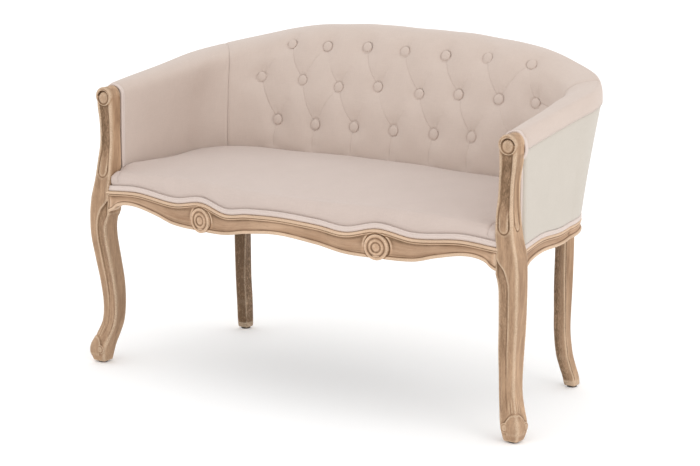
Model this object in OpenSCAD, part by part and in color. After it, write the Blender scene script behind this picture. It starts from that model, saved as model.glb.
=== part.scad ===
// Two-seater upholstered sofa with a carved show-wood frame and a buttoned tub back.
// X runs across the sofa, Y from front to back, Z up. All sizes are in millimetres.
// The shell is laid out by a place w: 1 at the right arm post, 0 at the middle of the
// back and -1 at the left arm post, and by depths measured inward from its outer face.

/* [Frame plan] */
// Width across the outer faces of the side rails at the front
rail_span = 1096; // [1080:4:1300]
// How much narrower each side is where the rear corner starts
side_taper = 28; // [16:1:40]
// Distance from the front feet to the outer face of the back rail
rail_reach = 425; // [415:5:500]
// How far the top of the back leans behind the back rail
back_rake = 99; // [80:1:120]
// How much wider the shell is at its top than at the rails, at the rear corners
corner_flare = 27; // [0:1:30]
// Distance from the front feet to the back face of the arm posts
post_back = 28; // [26:1:32]
// Width of the rounded rear corner at the rail
corner_width = 257.5; // [240:2.5:280]
// Depth of the rounded rear corner at the rail
corner_depth = 155; // [140:5:180]
// Squareness of the rear corners, 2 being an ellipse
corner_power = 2.6; // [2.2:0.1:3]

/* [Heights] */
// Height of the ledge in the rails that carries the webbing
ledge_h = 394; // [370:2:430]
// Top of the front rail above the ledge at the posts
post_lip = 12; // [10:1:18]
// Height of the arm tops above the ledge, at the posts
arm_rise = 249; // [235:1:290]
// Further rise of the top edge at the rear corners
corner_rise = 54; // [40:1:70]
// Further rise of the top edge from the corners to the middle of the back
crest_rise = 57; // [40:1:80]

/* [Rails] */
// Thickness of a rail
rail_t = 26; // [24:1:30]
// Thickness of the lip that stands above the ledge
lip_t = 10; // [9:0.5:12]
// Height of a moulded bead on the rail edges
bead_h = 6; // [4:0.5:7]
// How far the panel between the beads is cut back
rail_cove = 3.5; // [1:0.5:5]
// How far the middle of the front rail bows forward
front_bow = 50; // [20:1:60]
// Distance of a rosette from the middle of the front rail
rosette_x = 230; // [200:5:260]
// Diameter of a rosette
rosette_d = 55; // [44:1:60]
// How far a rosette stands out of the front rail
rosette_rise = 5; // [3:0.5:8]

/* [Front legs] */
// Distance of an arm post's centre line from the middle of the sofa
post_inset = 26; // [22:1:30]
// Width of the post at its waist
post_w = 34; // [30:1:38]
// Width of the leg at the knee
knee_w = 43; // [40:1:48]
// Width of the leg at the ankle
ankle_w = 33; // [28:1:38]
// Width of the scroll foot
foot_w = 41; // [36:1:46]
// How far the knee swells outward
knee_swell = 14; // [8:1:18]
// How far the foot kicks outward
foot_kick = 23; // [12:1:28]
// Height of the ankle above the floor
ankle_h = 140; // [125:1:160]
// Depth of the carved channels
channel_depth = 2.6; // [1:0.2:4]
// Diameter of the volute at the head of the post
volute_d = 41; // [38:1:44]
// Diameter of the round boss in the volute
boss_d = 25; // [18:1:28]

/* [Rear legs] */
// Distance of a rear leg from the outer face of the side rail
rear_leg_inset = 113; // [108:1:120]
// Width of a rear leg below the rail
rear_leg_w = 31; // [26:1:36]
// Width of a rear leg at the floor
rear_foot_w = 27; // [24:1:32]
// How far the rear foot sweeps back
rear_kick = 25; // [0:1:40]
// Height at which the rear foot starts to sweep back
rear_sweep_h = 130; // [110:5:150]

/* [Upholstery] */
// Thickness of the arms at the seat
arm_t = 51; // [48:1:60]
// Depth of the rear cushion zone, from the outer face of the back rail to the seat
back_t = 69; // [62:1:90]
// Height of the seat above the ledge along the arms
seat_side_rise = 56; // [48:1:66]
// Height of the seat above the ledge at the middle of the back
seat_back_rise = 82; // [70:1:95]
// Thickness of the seat cover with its wadding
cover_t = 3; // [2:0.5:5]
// Distance between two buttons in a row
button_pitch = 105; // [98:1:110]
// Height of the lowest row of buttons above the ledge
low_row = 143; // [130:1:160]
// Depth of the tufts at the buttons
tuft_depth = 15; // [6:1:20]
// Diameter of a covered button
button_d = 22.6; // [16:0.2:26]
// Distance of the corner seam from the side of the shell at the brow
seam_inset = 21.75; // [18:0.25:30]
// How far the corner seam leans toward the back at the seat
seam_lean = 25.5; // [0:0.5:30]
// Diameter of one cord of the double welts
cord_d = 5; // [4:0.5:6]

/* [Inner frame] */
// Thickness of the inner frame rails
frame_t = 17.5; // [14:0.5:18]
// Height of the arm rails and the crest rail
frame_h = 34; // [26:1:44]
// Thickness of the webbing
webbing_t = 1.8; // [1:0.1:2]
// Width of a webbing strap in the seat
webbing_w = 50; // [40:2:50]
// Diameter of a dowel
dowel_d = 8; // [6:0.5:9]
// Length of a dowel
dowel_l = 40; // [30:2:44]
// Height of a corner block
block_h = 18; // [14:1:20]
// Length of a corner block screw
screw_l = 38; // [32:1:40]
// Diameter of a corner block screw
screw_d = 4; // [3:0.5:5]
// Height of a floor glide
glide_h = 4; // [3:1:8]
// Diameter of a floor glide
glide_d = 22; // [16:1:24]
// Gap between pieces that are fitted to each other
fit = 0.3; // [0.2:0.1:0.5]

/* [Hidden] */
$fn = 48;

oak = "burlywood";
inner_oak = "tan";
linen = "antiquewhite";
jute = "darkkhaki";

// Shares of half of the shell, counted from the post
side_end = 0.4;
corner_end = 0.7;

// Half width of the flat middle of the back
back_flat = rail_span / 2 - side_taper - corner_width;

// Heights that follow from the ledge
arm_h = ledge_h + arm_rise;
corner_h = arm_h + corner_rise;
back_h = corner_h + crest_rise;
deck_h = ledge_h + 2 * webbing_t + fit;
well_h = ledge_h + seat_back_rise;
row_h = ledge_h + low_row;

// Depths inside the shell, from its outer face inward
panel_out = 2;
panel_in = 6;
frame_out = panel_in + 2.5;
frame_in = frame_out + frame_t;
pad_back = frame_in + webbing_t + 2 * fit;
strap_out = frame_in + fit;

// The rolled top edge
seam_drop = 38;
arm_brow_drop = 22;
back_brow_drop = 45;
ridge_in = 25;
ridge_cover = 20;

// The front joints between the posts and the rails
post_x = rail_span / 2 - post_inset;
post_y = post_back - post_w / 2;
front_face = -20;
joint_x = post_x - 17;
joint_h = ledge_h - 10;
joint_low = ledge_h - 42;
side_x = rail_span / 2;

// The rear corners
stile_w = 0.44;
stile_half = 0.015;
block_front = 0.475;
block_rear = 0.405;
place_gap = 0.0004;
rear_leg_x = side_x - rear_leg_inset;
rear_leg_y = rail_reach - 30;

// The middle of the depth lies at Y = 0
front_reach = front_face - front_bow - rosette_rise / 5;
rear_reach = rail_reach + back_rake;
mid_depth = (front_reach + rear_reach) / 2;

// Plain helpers
function mix(a, b, t) = a + (b - a) * t;
function smooth(t) = t <= 0 ? 0 : t >= 1 ? 1 : t * t * (3 - 2 * t);
function unit(v) = v / norm(v);
function quarter(i, n) = 90 * i / n;

// Smooth curve through a list of [place, value] pairs
function pick(list, i) = list[max(0, min(len(list) - 1, i))];
function segment(list, t, i = 0) =
  i >= len(list) - 2 || t < list[i + 1][0] ? i : segment(list, t, i + 1);
function slope(list, i) =
  let (a = pick(list, i - 1), b = pick(list, i + 1)) (b[1] - a[1]) / (b[0] - a[0]);
function flow(list, t) =
  let (
    i = segment(list, t),
    a = list[i],
    b = list[i + 1],
    run = b[0] - a[0],
    u = (t - a[0]) / run
  )
  (2 * u ^ 3 - 3 * u ^ 2 + 1) * a[1] + (u ^ 3 - 2 * u ^ 2 + u) * run * slope(list, i)
  + (3 * u ^ 2 - 2 * u ^ 3) * b[1] + (u ^ 3 - u ^ 2) * run * slope(list, i + 1);

// Solid through a list of rings with equal numbers of points, closed by two caps.
// A cap is a list of triangles of ring places, and a plain one fans from a ring's first
// point, which all the others see.
function fan(n) = [for (k = [1 : n - 2]) [0, k, k + 1]];
module loft(rings, cap = undef) {
  n = len(rings[0]);
  last = (len(rings) - 1) * n;
  ends = is_undef(cap) ? fan(n) : cap;
  walls = [
    for (i = [0 : len(rings) - 2], j = [0 : n - 1])
      let (a = i * n + j, b = i * n + (j + 1) % n)
      each [[a, b, b + n], [a, b + n, a + n]]
  ];
  near = [for (f = ends) [f[2], f[1], f[0]]];
  far = [for (f = ends) [f[0] + last, f[1] + last, f[2] + last]];
  polyhedron([for (ring = rings) each ring], concat(near, walls, far));
}

// Evenly spaced places from a to b
function places(a, b, n) = [for (i = [0 : n]) mix(a, b, i / n)];

// Plan of the shell at one level, given as
// [half width at the post, half width at the corner, back, corner depth, bow of the back]
rail_level = [side_x, side_x - side_taper, rail_reach, corner_depth, 0];
top_level = [side_x, side_x - side_taper + corner_flare, rear_reach, corner_depth + 71, 0];
ridge_level = [
  side_x - ridge_in, side_x - side_taper - ridge_in + corner_flare,
  rear_reach - ridge_in - 1, corner_depth + 41, 0
];
well_level = [
  side_x - arm_t, side_x - side_taper - arm_t + 9,
  rail_reach - back_t - 8, corner_depth - 45, 8
];
brow_level = [
  side_x - arm_t - 2, side_x - side_taper - arm_t - 1,
  rail_reach - back_t + 64, corner_depth - 5, 0
];
level_h = back_h - seam_drop;

function plan(level, w) =
  let (
    s = 1 - abs(w),
    turn = sign(w),
    start = level[2] - level[3],
    a = 90 * (s - side_end) / (corner_end - side_end),
    x = back_flat * (1 - s) / (1 - corner_end)
  )
  s < side_end
    ? [turn * mix(level[0], level[1], s / side_end), mix(post_back, start, s / side_end)]
  : s < corner_end
    ? [
        turn * (back_flat + (level[1] - back_flat) * pow(cos(a), 2 / corner_power)),
        start + level[3] * pow(sin(a), 2 / corner_power)
      ]
  : [turn * x, level[2] + level[4] * (1 + cos(180 * x / back_flat)) / 2];

// Place of a column of buttons, counted from the middle in button pitches
function column_place(c) =
  let (
    x = abs(c) * button_pitch,
    reach = (x - back_flat) / (brow_level[1] - back_flat),
    a = acos(pow(max(reach, 0), corner_power / 2)),
    flat_share = 1 - corner_end
  )
  sign(c) * (x <= back_flat
    ? x / back_flat * flat_share
    : flat_share + (90 - a) / 90 * (corner_end - side_end));

// Heights of the top edge and of the lines that hang from it. The edge goes by the way
// covered in plan, inward from the post and back from it together.
edge_line = [
  [0, arm_h], [0.14, mix(arm_h, corner_h, 0.306)], [0.28, mix(arm_h, corner_h, 0.602)],
  [0.42, mix(arm_h, corner_h, 0.883)], [0.56, mix(corner_h, back_h, 0.262)],
  [0.7, mix(corner_h, back_h, 0.732)], [0.85, mix(corner_h, back_h, 0.971)], [1, back_h],
  [1.15, mix(corner_h, back_h, 0.971)]
];
function run_share(p) =
  (p[1] - post_back + ridge_level[0] - abs(p[0])) / (ridge_level[2] - post_back + ridge_level[0]);
function top_h(w) = flow(edge_line, run_share(plan(ridge_level, w)));
function brow_h(w) =
  top_h(w) - mix(arm_brow_drop, back_brow_drop, smooth((0.42 - abs(w)) / 0.3));
function seam_h(w) = top_h(w) - seam_drop;
function frame_top(w) = top_h(w) - ridge_cover;

// Outer and inner face of the shell in plan at a height, and a layer between them
function outer(w, z) =
  mix(plan(rail_level, w), plan(top_level, w), (max(z, ledge_h) - ledge_h) / (level_h - ledge_h));
function inner(w, z) =
  z <= well_h
    ? plan(well_level, w)
    : mix(plan(well_level, w), plan(brow_level, w), pow((z - well_h) / (brow_h(w) - well_h), 1.6));
function inward(w, z) = unit(inner(w, min(z, brow_h(w))) - outer(w, z));
function at_h(p, z) = [p[0], p[1], z];
function layer(w, depth, z) = at_h(outer(w, z) + inward(w, z) * depth, z);

// Serpentine front rail, by distance from the middle
half_front = joint_x;
front_line = [
  [-0.24, -0.73 * front_bow], [0, -front_bow], [0.24, -0.73 * front_bow], [0.48, -0.36 * front_bow],
  [0.72, -0.1 * front_bow], [1, 0]
];
front_top_line = [
  [-0.18, post_lip + 3], [0, post_lip + 9], [0.18, post_lip + 3], [0.31, post_lip - 6],
  [rosette_x / half_front, post_lip + 8], [0.62, post_lip - 4],
  [0.84, post_lip + 5], [1, post_lip]
];
front_low_line = [
  [-0.18, -26], [0, -16], [0.18, -26], [0.31, -39], [rosette_x / half_front, -42],
  [0.62, -40], [0.73, -26], [0.86, -14], [0.95, -20], [1, joint_low - ledge_h]
];
function front_y(x) = front_face + flow(front_line, min(abs(x) / half_front, 1));
function front_top(x) = ledge_h + flow(front_top_line, min(abs(x) / half_front, 1));
function front_low(x) = ledge_h + flow(front_low_line, min(abs(x) / half_front, 1));

// Waved rails round the sides and the back, by place
ring_top_line = [
  [0, 3], [0.155, 10], [0.33, 3], [0.52, 11], [0.75, 7], [1, 12], [1.25, 7]
];
ring_low_line = [
  [0, joint_low - ledge_h], [0.05, -27], [0.155, -20], [0.33, -25], [0.52, -15],
  [0.75, -20], [1, -14], [1.25, -20]
];
function ring_top(w) = ledge_h + flow(ring_top_line, 1 - abs(w));
function ring_low(w) = ledge_h + flow(ring_low_line, 1 - abs(w));

// Moulded section of a rail as [depth, height] pairs: a lip and a ledge behind it,
// with a bead along each edge of the face
function rail_section(low, top) = [
  [lip_t, ledge_h], [lip_t, top - 1], [lip_t - 1, top],
  [1.5, top], [0, top - 1.5], [0, top - bead_h + 2], [1, top - bead_h + 0.5],
  [rail_cove, top - bead_h - 1], [rail_cove, low + bead_h + 1],
  [1, low + bead_h], [-1, low + bead_h - 1.5], [-1, low + 1.5], [0.5, low],
  [rail_t, low], [rail_t, ledge_h]
];

module placed() {
  translate([0, -mid_depth, 0]) children();
}

module mirrored() {
  mirror([1, 0, 0]) children();
}

// Dowels at the rail joints: a centre and a direction in plan
function joint_place(w) = layer(w, rail_t / 2, joint_h);
function joint_way(w) = unit(joint_place(w + 0.01) - joint_place(w - 0.01));
right_dowels = [
  [[joint_x, front_face + rail_t / 2, joint_h], [1, 0, 0]],
  [[joint_place(1)[0], post_back, joint_h], [0, 1, 0]],
  [joint_place(block_front), joint_way(block_front)],
  [joint_place(block_rear), joint_way(block_rear)]
];

module lying_cylinder(d, l, way) {
  rotate([0, 90, atan2(way[1], way[0])]) cylinder(d = d, h = l, center = true);
}

module right_joint_holes() {
  for (dowel = right_dowels)
    translate(dowel[0]) lying_cylinder(dowel_d + 2 * fit, dowel_l + 2, dowel[1]);
}

// Corner blocks: the two ends of the long face of each right block, and what it bears on
front_chord = [
  [joint_x - 45, front_face + rail_t + fit],
  [layer(0.93, rail_t + fit, joint_h)[0], layer(0.93, rail_t + fit, joint_h)[1]]
];
function inner_corner(w) =
  let (p = layer(w, rail_t + fit, joint_h)) [p[0], p[1]];
rear_chord = [inner_corner(0.56), inner_corner(0.34)];
front_outline = concat(
  [front_chord[0], [joint_x - fit, front_chord[0][1]], [joint_x - fit, post_back + fit]],
  [for (w = places(0.998, 0.93, 2)) inner_corner(w)]
);
rear_outline = [for (w = places(0.56, 0.34, 8)) inner_corner(w)];
front_target = [post_x, post_y];
rear_target = [rear_leg_x, rear_leg_y];
function chord_middle(chord) = (chord[0] + chord[1]) / 2;

module block_bore(chord, target, gap) {
  from = chord_middle(chord);
  across = unit(chord[1] - chord[0]);
  turn = atan2(across[1], across[0]);
  inside = ((target - from) * [-across[1], across[0]]) > 0 ? 90 : -90;
  translate([from[0], from[1], ledge_h - block_h / 2]) rotate([0, 90, turn + inside])
    translate([0, 0, -gap]) cylinder(d = screw_d + 2 * gap, h = screw_l + 2 * gap);
}

module block_screw(chord, target) {
  from = chord_middle(chord);
  across = unit(chord[1] - chord[0]);
  turn = atan2(across[1], across[0]);
  inside = ((target - from) * [-across[1], across[0]]) > 0 ? 90 : -90;
  head_h = 0.6 * screw_d;
  block_bore(chord, target, 0);
  translate([from[0], from[1], ledge_h - block_h / 2]) rotate([0, 90, turn + inside])
    translate([0, 0, -head_h]) cylinder(d = 2 * screw_d, h = head_h);
}

// Front leg and arm post in one piece: [height, [outward, forward, width, depth]]
function foot_at(share) = share * ankle_h;
function leg_at(share) = mix(ankle_h, ledge_h, share);
function post_at(share) = ledge_h + share * arm_rise;
calf_w = mix(ankle_w, knee_w, 0.3);
shin_w = mix(ankle_w, knee_w, 0.7);
leg_course = [
  [glide_h, [foot_kick, 0.55 * foot_kick, foot_w - 9, foot_w - 9]],
  [foot_at(0.157), [foot_kick + 1, 0.57 * foot_kick, foot_w - 1, foot_w - 1]],
  [foot_at(0.3), [foot_kick - 2, 0.48 * foot_kick, foot_w + 1, foot_w + 1]],
  [foot_at(0.471), [0.55 * foot_kick, 0.13 * foot_kick, foot_w - 5, foot_w - 5]],
  [foot_at(0.686), [0.2 * foot_kick, -5, ankle_w, ankle_w]],
  [ankle_h, [2, -8, ankle_w, ankle_w]],
  [leg_at(0.197), [4, -5, calf_w, calf_w]],
  [leg_at(0.394), [9, 1, shin_w, shin_w]],
  [leg_at(0.63), [knee_swell, 9, knee_w, knee_w]],
  [leg_at(0.827), [knee_swell - 1, 10, knee_w, knee_w + 1]],
  [ledge_h, [knee_swell - 5, 7, knee_w, post_w + 14]],
  [post_at(0.145), [2, 6, knee_w - 1, post_w + 12]],
  [post_at(0.321), [-2, 4, knee_w - 5, post_w + 8]],
  [post_at(0.462), [-3, 1, post_w + 1, post_w + 2]],
  [post_at(0.586), [-3, 0, post_w, post_w]],
  [arm_h - 58, [-1, 0, post_w + 1, post_w]],
  [arm_h - 30, [1, 0, volute_d - 4, post_w]]
];
leg_rings = 34;
leg_turns = [0, 14, 22, 30, 45, 60, 70, 78, 90, 105, 135, 165, 180];
corner_round = 5;

// Share of the channel depth: along the post, and along the leg below the knee
function channel_share(z) =
  smooth((z - ledge_h - 45) / 14) * (1 - smooth((z - arm_h + 52) / 12))
  + smooth((z - ankle_h - 5) / 30) * (1 - smooth((z - ledge_h + 40) / 22));
function channel(z, turn) =
  let (band = z > ledge_h ? 10 : 18)
  channel_depth * channel_share(z) * smooth((turn - band) / 8) * (1 - smooth((turn - 64) / 12));

// Rounded square cut by a channel on each show face; the turn runs from the outer corner
function leg_radius(half_x, half_y, way) =
  pow(pow(abs(cos(way)) / half_x, corner_round) + pow(abs(sin(way)) / half_y, corner_round),
      -1 / corner_round);
function leg_ring(z) =
  let (
    c = flow(leg_course, z),
    turns = concat(leg_turns, [for (i = [len(leg_turns) - 2 : -1 : 1]) -leg_turns[i]])
  )
  [
    for (turn = turns)
      let (way = turn - 45, r = leg_radius(c[2] / 2, c[3] / 2, way) - channel(z, abs(turn)))
      [post_x + c[0] + r * cos(way), post_y - c[1] + r * sin(way), z]
  ];

module volute() {
  // Scroll end of the post, with a ring, a hollow and a boss turned on its face
  volute_y = post_back - post_w - 4;
  length = post_back - volute_y;
  edge = volute_d / 2;
  translate([post_x + 1, post_back, arm_h - edge - 2]) rotate([90, 0, 0])
    rotate_extrude() polygon(concat(
      [[0, 0], [edge, 0], [edge, length - 3], [edge - 3, length], [boss_d / 2 + 2, length],
       [boss_d / 2, length - 2.5]],
      [for (a = [15 : 15 : 90]) [boss_d / 2 * cos(a), length - 2.5 + 5 * sin(a)]]
    ));
}

module foot_scrolls() {
  eye_d = 12;
  eye_z = foot_at(0.221);
  stand_out = 0.5;
  c = flow(leg_course, eye_z);
  eye_back = c[2] / 2 - eye_d / 2 - 2;
  x = post_x + c[0];
  y = post_y - c[1];
  translate([x - eye_back, y, eye_z]) rotate([90, 0, 0]) cylinder(d = eye_d, h = c[3] / 2 + stand_out);
  translate([x, y + eye_back, eye_z]) rotate([0, 90, 0]) cylinder(d = eye_d, h = c[2] / 2 + stand_out);
}

module front_leg() {
  color(oak) difference() {
    union() {
      loft([for (z = places(arm_h - 30, glide_h, leg_rings)) leg_ring(z)]);
      volute();
      foot_scrolls();
      translate([joint_x, front_face + 3, joint_low + 2])
        cube([knee_w - 4, post_back - front_face - 3, ledge_h - joint_low + 4]);
    }
    right_joint_holes();
    block_bore(front_chord, front_target, fit);
  }
}

// Rear leg below the rail: [height, [outward, backward, width]]
rear_course = [
  [glide_h, [0.56 * rear_kick, rear_kick, rear_foot_w]],
  [0.192 * rear_sweep_h, [0.48 * rear_kick, 0.84 * rear_kick, rear_foot_w + 2]],
  [0.354 * rear_sweep_h, [0.32 * rear_kick, 0.6 * rear_kick, mix(rear_foot_w, rear_leg_w, 0.7)]],
  [0.6 * rear_sweep_h, [0.12 * rear_kick, 0.28 * rear_kick, rear_leg_w - 0.5]],
  [rear_sweep_h, [0, 0, rear_leg_w]],
  [mix(rear_sweep_h, ledge_h, 0.417), [0, -1, rear_leg_w + 1]],
  [ledge_h, [0, 0, rear_leg_w]]
];
rear_turns = [0, 22, 38, 52, 68];
rear_top = ledge_h - 8;

function rear_ring(z) =
  let (c = flow(rear_course, z))
  [
    for (q = [0 : 3], turn = rear_turns)
      let (way = 90 * q + turn, r = leg_radius(c[2] / 2, c[2] / 2, way))
      [rear_leg_x + c[0] + r * cos(way), rear_leg_y + c[1] + r * sin(way), z]
  ];

module ring_rail(from, to, steps) {
  loft([
    for (w = places(to, from, steps))
      [for (p = rail_section(ring_low(w), ring_top(w))) layer(w, p[0], p[1])]
  ]);
}

// Upright between two places of the inner frame zone
function upright_ring(w, half, z) = [
  layer(w - half, frame_in, z), layer(w - half, frame_out, z),
  layer(w + half, frame_out, z), layer(w + half, frame_in, z)
];

module rear_leg() {
  color(oak) difference() {
    union() {
      loft([for (z = places(rear_top, glide_h, 14)) rear_ring(z)]);
      ring_rail(block_front - place_gap, block_rear + place_gap, 4);
      loft([
        for (z = places(ledge_h - 12, frame_top(stile_w), 3)) upright_ring(stile_w, stile_half, z)
      ]);
    }
    right_joint_holes();
    block_bore(rear_chord, rear_target, fit);
  }
}

module rosette() {
  // Turned disc carved on the face of the front rail: two rings round a boss
  r = rosette_d / 2;
  y = front_y(rosette_x);
  face_turn = atan2(front_y(rosette_x + 20) - front_y(rosette_x - 20), 40);
  translate([rosette_x, y, ledge_h - 18]) rotate([90, 0, face_turn])
    rotate_extrude() polygon([
      [0, -rail_t / 2], [r, -rail_t / 2], [r, rosette_rise - 2], [r - 2, rosette_rise],
      [0.8 * r, rosette_rise], [0.72 * r, rosette_rise - 3], [0.6 * r, rosette_rise - 3],
      [0.54 * r, rosette_rise], [0.46 * r, rosette_rise], [0.4 * r, rosette_rise - 2.5],
      [0.3 * r, rosette_rise - 2.5], [0.26 * r, rosette_rise - 0.5], [0, rosette_rise + 0.5]
    ]);
}

module front_rail() {
  color(oak) difference() {
    union() {
      loft([
        for (x = places(half_front - fit / 2, -half_front + fit / 2, 44))
          [for (p = rail_section(front_low(x), front_top(x))) [x, front_y(x) + p[0], p[1]]]
      ]);
      rosette();
      mirrored() rosette();
    }
    right_joint_holes();
    mirrored() right_joint_holes();
  }
}

module side_rail() {
  color(oak) difference() {
    ring_rail(1 - place_gap, block_front + place_gap, 14);
    right_joint_holes();
  }
}

module back_rail() {
  color(oak) difference() {
    ring_rail(block_rear - place_gap, -block_rear + place_gap, 24);
    right_joint_holes();
    mirrored() right_joint_holes();
  }
}

// Inner rail that carries the rolled edge, between two places
module edge_rail(from, to, steps) {
  loft([
    for (w = places(to, from, steps))
      let (high = frame_top(w) - 2 * fit, low = high - frame_h)
      [
        layer(w, frame_in, low), layer(w, frame_in, high),
        layer(w, frame_out, high), layer(w, frame_out, low)
      ]
  ]);
}

module arm_rail() {
  color(inner_oak) edge_rail(1 - place_gap, stile_w + stile_half + place_gap, 14);
}

module crest_rail() {
  color(inner_oak) edge_rail(stile_w - stile_half - place_gap, -stile_w + stile_half + place_gap, 28);
}

module rail_dowels() {
  color(inner_oak) for (side = [0, 1]) mirror([side, 0, 0])
    for (dowel = right_dowels) translate(dowel[0]) lying_cylinder(dowel_d, dowel_l, dowel[1]);
}

module right_corner_blocks() {
  difference() {
    translate([0, 0, ledge_h - block_h]) linear_extrude(block_h - fit) {
      polygon(front_outline);
      polygon(rear_outline);
    }
    translate([rear_leg_x - rear_leg_w / 2 - 1, rear_leg_y - rear_leg_w / 2 - 1, 0])
      cube([rear_leg_w, rear_leg_w, ledge_h]);
    block_bore(front_chord, front_target, fit);
    block_bore(rear_chord, rear_target, fit);
  }
}

module corner_blocks() {
  color(inner_oak) {
    right_corner_blocks();
    mirrored() right_corner_blocks();
  }
}

module corner_block_screws() {
  color("silver") for (side = [0, 1]) mirror([side, 0, 0]) {
    block_screw(front_chord, front_target);
    block_screw(rear_chord, rear_target);
  }
}

// Half width inside the lip of the rails at a depth y, and the back at a width x
function corner_share(t) = pow(1 - pow(t, corner_power), 1 / corner_power);
function ledge_half(y) =
  let (
    start = rail_level[2] - rail_level[3],
    edge = y < start
      ? mix(rail_level[0], rail_level[1], (y - post_back) / (start - post_back))
      : back_flat + (rail_level[1] - back_flat) * corner_share((y - start) / rail_level[3])
  )
  edge - lip_t - 5;
function ledge_back(x) =
  let (reach = max(abs(x) - back_flat, 0) / (rail_level[1] - back_flat))
  rail_level[2] - rail_level[3] * (1 - corner_share(reach)) - lip_t - 3;

module seat_webbing() {
  half = webbing_w / 2;
  rows = 4;
  row_step = 78;
  color(jute) {
    for (c = [-3 : 3]) {
      x = c * button_pitch;
      front = max(front_y(x - half), front_y(x + half)) + lip_t + 1;
      back = ledge_back(abs(x) + half);
      translate([x - half, front, ledge_h]) cube([webbing_w, back - front, webbing_t]);
    }
    for (i = [0 : rows - 1]) {
      y = post_back + 35 + i * row_step;
      reach = ledge_half(y + half);
      translate([-reach, y - half, ledge_h + webbing_t]) cube([2 * reach, webbing_w, webbing_t]);
    }
  }
}

module back_webbing() {
  half = 0.16;
  strap_in = strap_out + webbing_t;
  color(jute) for (c = [-2.4, -1.5, -0.5, 0.5, 1.5, 2.4]) {
    a = column_place(c - half);
    b = column_place(c + half);
    loft([
      for (z = [ledge_h - 8, ledge_h, row_h, frame_top(min(abs(a), abs(b)) + 0.05) - 6])
        [layer(a, strap_in, z), layer(a, strap_out, z), layer(b, strap_out, z), layer(b, strap_in, z)]
    ]);
  }
}

// Seat pad. A column u runs from the front edge to the inner face of the shell.
seat_front_gap = lip_t + fit;
seat_half = well_level[0] - fit;
seat_columns = 20;
front_roll = 24;
function seat_place(u) = sign(u) * pow(abs(u), 1.7);
function seat_rise(u, v) =
  let (crown = mix(8, seat_back_rise - seat_side_rise - 2, v) + 12 * sin(180 * v))
  seat_side_rise + (1 - pow(abs(u), 4)) * crown;
function seat_ring(u) =
  let (
    x = u * (seat_half - 1),
    from = [x, front_y(x) + seat_front_gap],
    edge = plan(well_level, seat_place(u)),
    run = edge - from,
    way = unit(run),
    to = edge - way * fit - [sign(u) * fit, 0],
    length = norm(to - from),
    lip = front_top(x) + 2 * cord_d + 0.5,
    rise = ledge_h + seat_rise(u, 0.04) - lip
  )
  concat(
    [at_h(to, deck_h), at_h(from, deck_h), at_h(from, lip)],
    [at_h(from - way * 3, lip + 0.3 * rise), at_h(from - way * 1, lip + 0.65 * rise)],
    [at_h(from + way * 0.4 * front_roll, lip + 0.92 * rise)],
    [
      for (v = [0.02, 0.16, 0.32, 0.5, 0.68, 0.85, 1])
        at_h(from + way * mix(front_roll, length, v), ledge_h + seat_rise(u, v))
    ]
  );

// Seat form drawn in by a depth all round
module seat_form(depth, drop) {
  middle = (front_face + rail_reach - back_t) / 2;
  half_depth = middle - front_face;
  function drawn(p) = [
    p[0] * (1 - depth / seat_half),
    middle + (p[1] - middle) * (1 - depth / half_depth),
    p[2] <= deck_h ? deck_h - drop : deck_h + (p[2] - deck_h) * (1 - depth / seat_side_rise)
  ];
  loft([for (u = places(-1, 1, seat_columns)) [for (p = seat_ring(u)) drawn(p)]]);
}

module seat_cover() {
  color(linen) difference() {
    seat_form(0, 0);
    seat_form(cover_t, 1);
  }
}

module seat_foam() {
  color("ivory") seat_form(cover_t + fit, 0);
}

// Rolled edge of a pad, from the brow over the ridge to the outer seam. A pleat sinks
// the inner quarter by its depth at the brow, fading out at the ridge.
function roll(w, steps, pleat = 0) =
  let (
    brow = inner(w, brow_h(w)),
    sunk = inward(w, brow_h(w)) * pleat / steps,
    ridge = plan(ridge_level, w),
    seam = outer(w, seam_h(w)),
    top = top_h(w)
  )
  concat(
    [
      for (i = [1 : steps])
        let (a = quarter(i, steps))
        at_h(ridge + (brow - ridge) * cos(a) - sunk * (steps - i), mix(brow_h(w), top, sin(a)))
    ],
    [
      for (i = [1 : steps])
        let (a = quarter(i, steps))
        at_h(
          ridge + (seam - ridge) * pow(sin(a), roll_square),
          mix(seam_h(w), top, pow(cos(a), roll_square))
        )
    ]
  );
roll_steps = 4;
roll_square = 0.67;

// Back of a pad: behind the webbing, then over the inner frame to the seam
function pad_core(w) = [
  layer(w, frame_out - fit, seam_h(w)), layer(w, frame_out - fit, frame_top(w)),
  layer(w, pad_back, frame_top(w)), layer(w, pad_back, deck_h)
];
// Cap of a pad with a number of face points before the roll
function pad_cap(face, steps) =
  let (n = face + 2 * steps, crown = face + steps - 1)
  concat(
    [for (k = [0 : face - 2]) [n + 3, k, k + 1]],
    [[n + 3, face - 1, n + 2]],
    [for (k = [face - 1 : crown - 1]) [n + 2, k, k + 1]],
    [[n + 2, crown, n + 1]],
    [for (k = [crown : n - 2]) [n + 1, k, k + 1]],
    [[n + 1, n - 1, n]]
  );

// Tufted face of the back: full between the valleys that join the buttons
low_steps = [0, 0.45, 1];
tuft_rows = 8;
back_columns = 17;
seam_column = (brow_level[1] - seam_inset) / button_pitch;
function fullness(c, row) =
  let (
    rise = max(-1, min(1, row)),
    puff = sqrt(abs(sin(180 * (c + rise / 2 + 0.5)) * sin(180 * (c - rise / 2 + 0.5)))),
    edge = smooth((abs(c) - 3.5) / 0.6)
  )
  mix(puff, 1, edge);
function tuft(c, z) =
  let (
    row = 2 * (z - row_h) / (brow_h(column_place(c)) - row_h) - 1,
    fade = smooth((z - well_h) / (row_h - well_h))
  )
  tuft_depth * fade * (1 - fullness(c, row));

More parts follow.
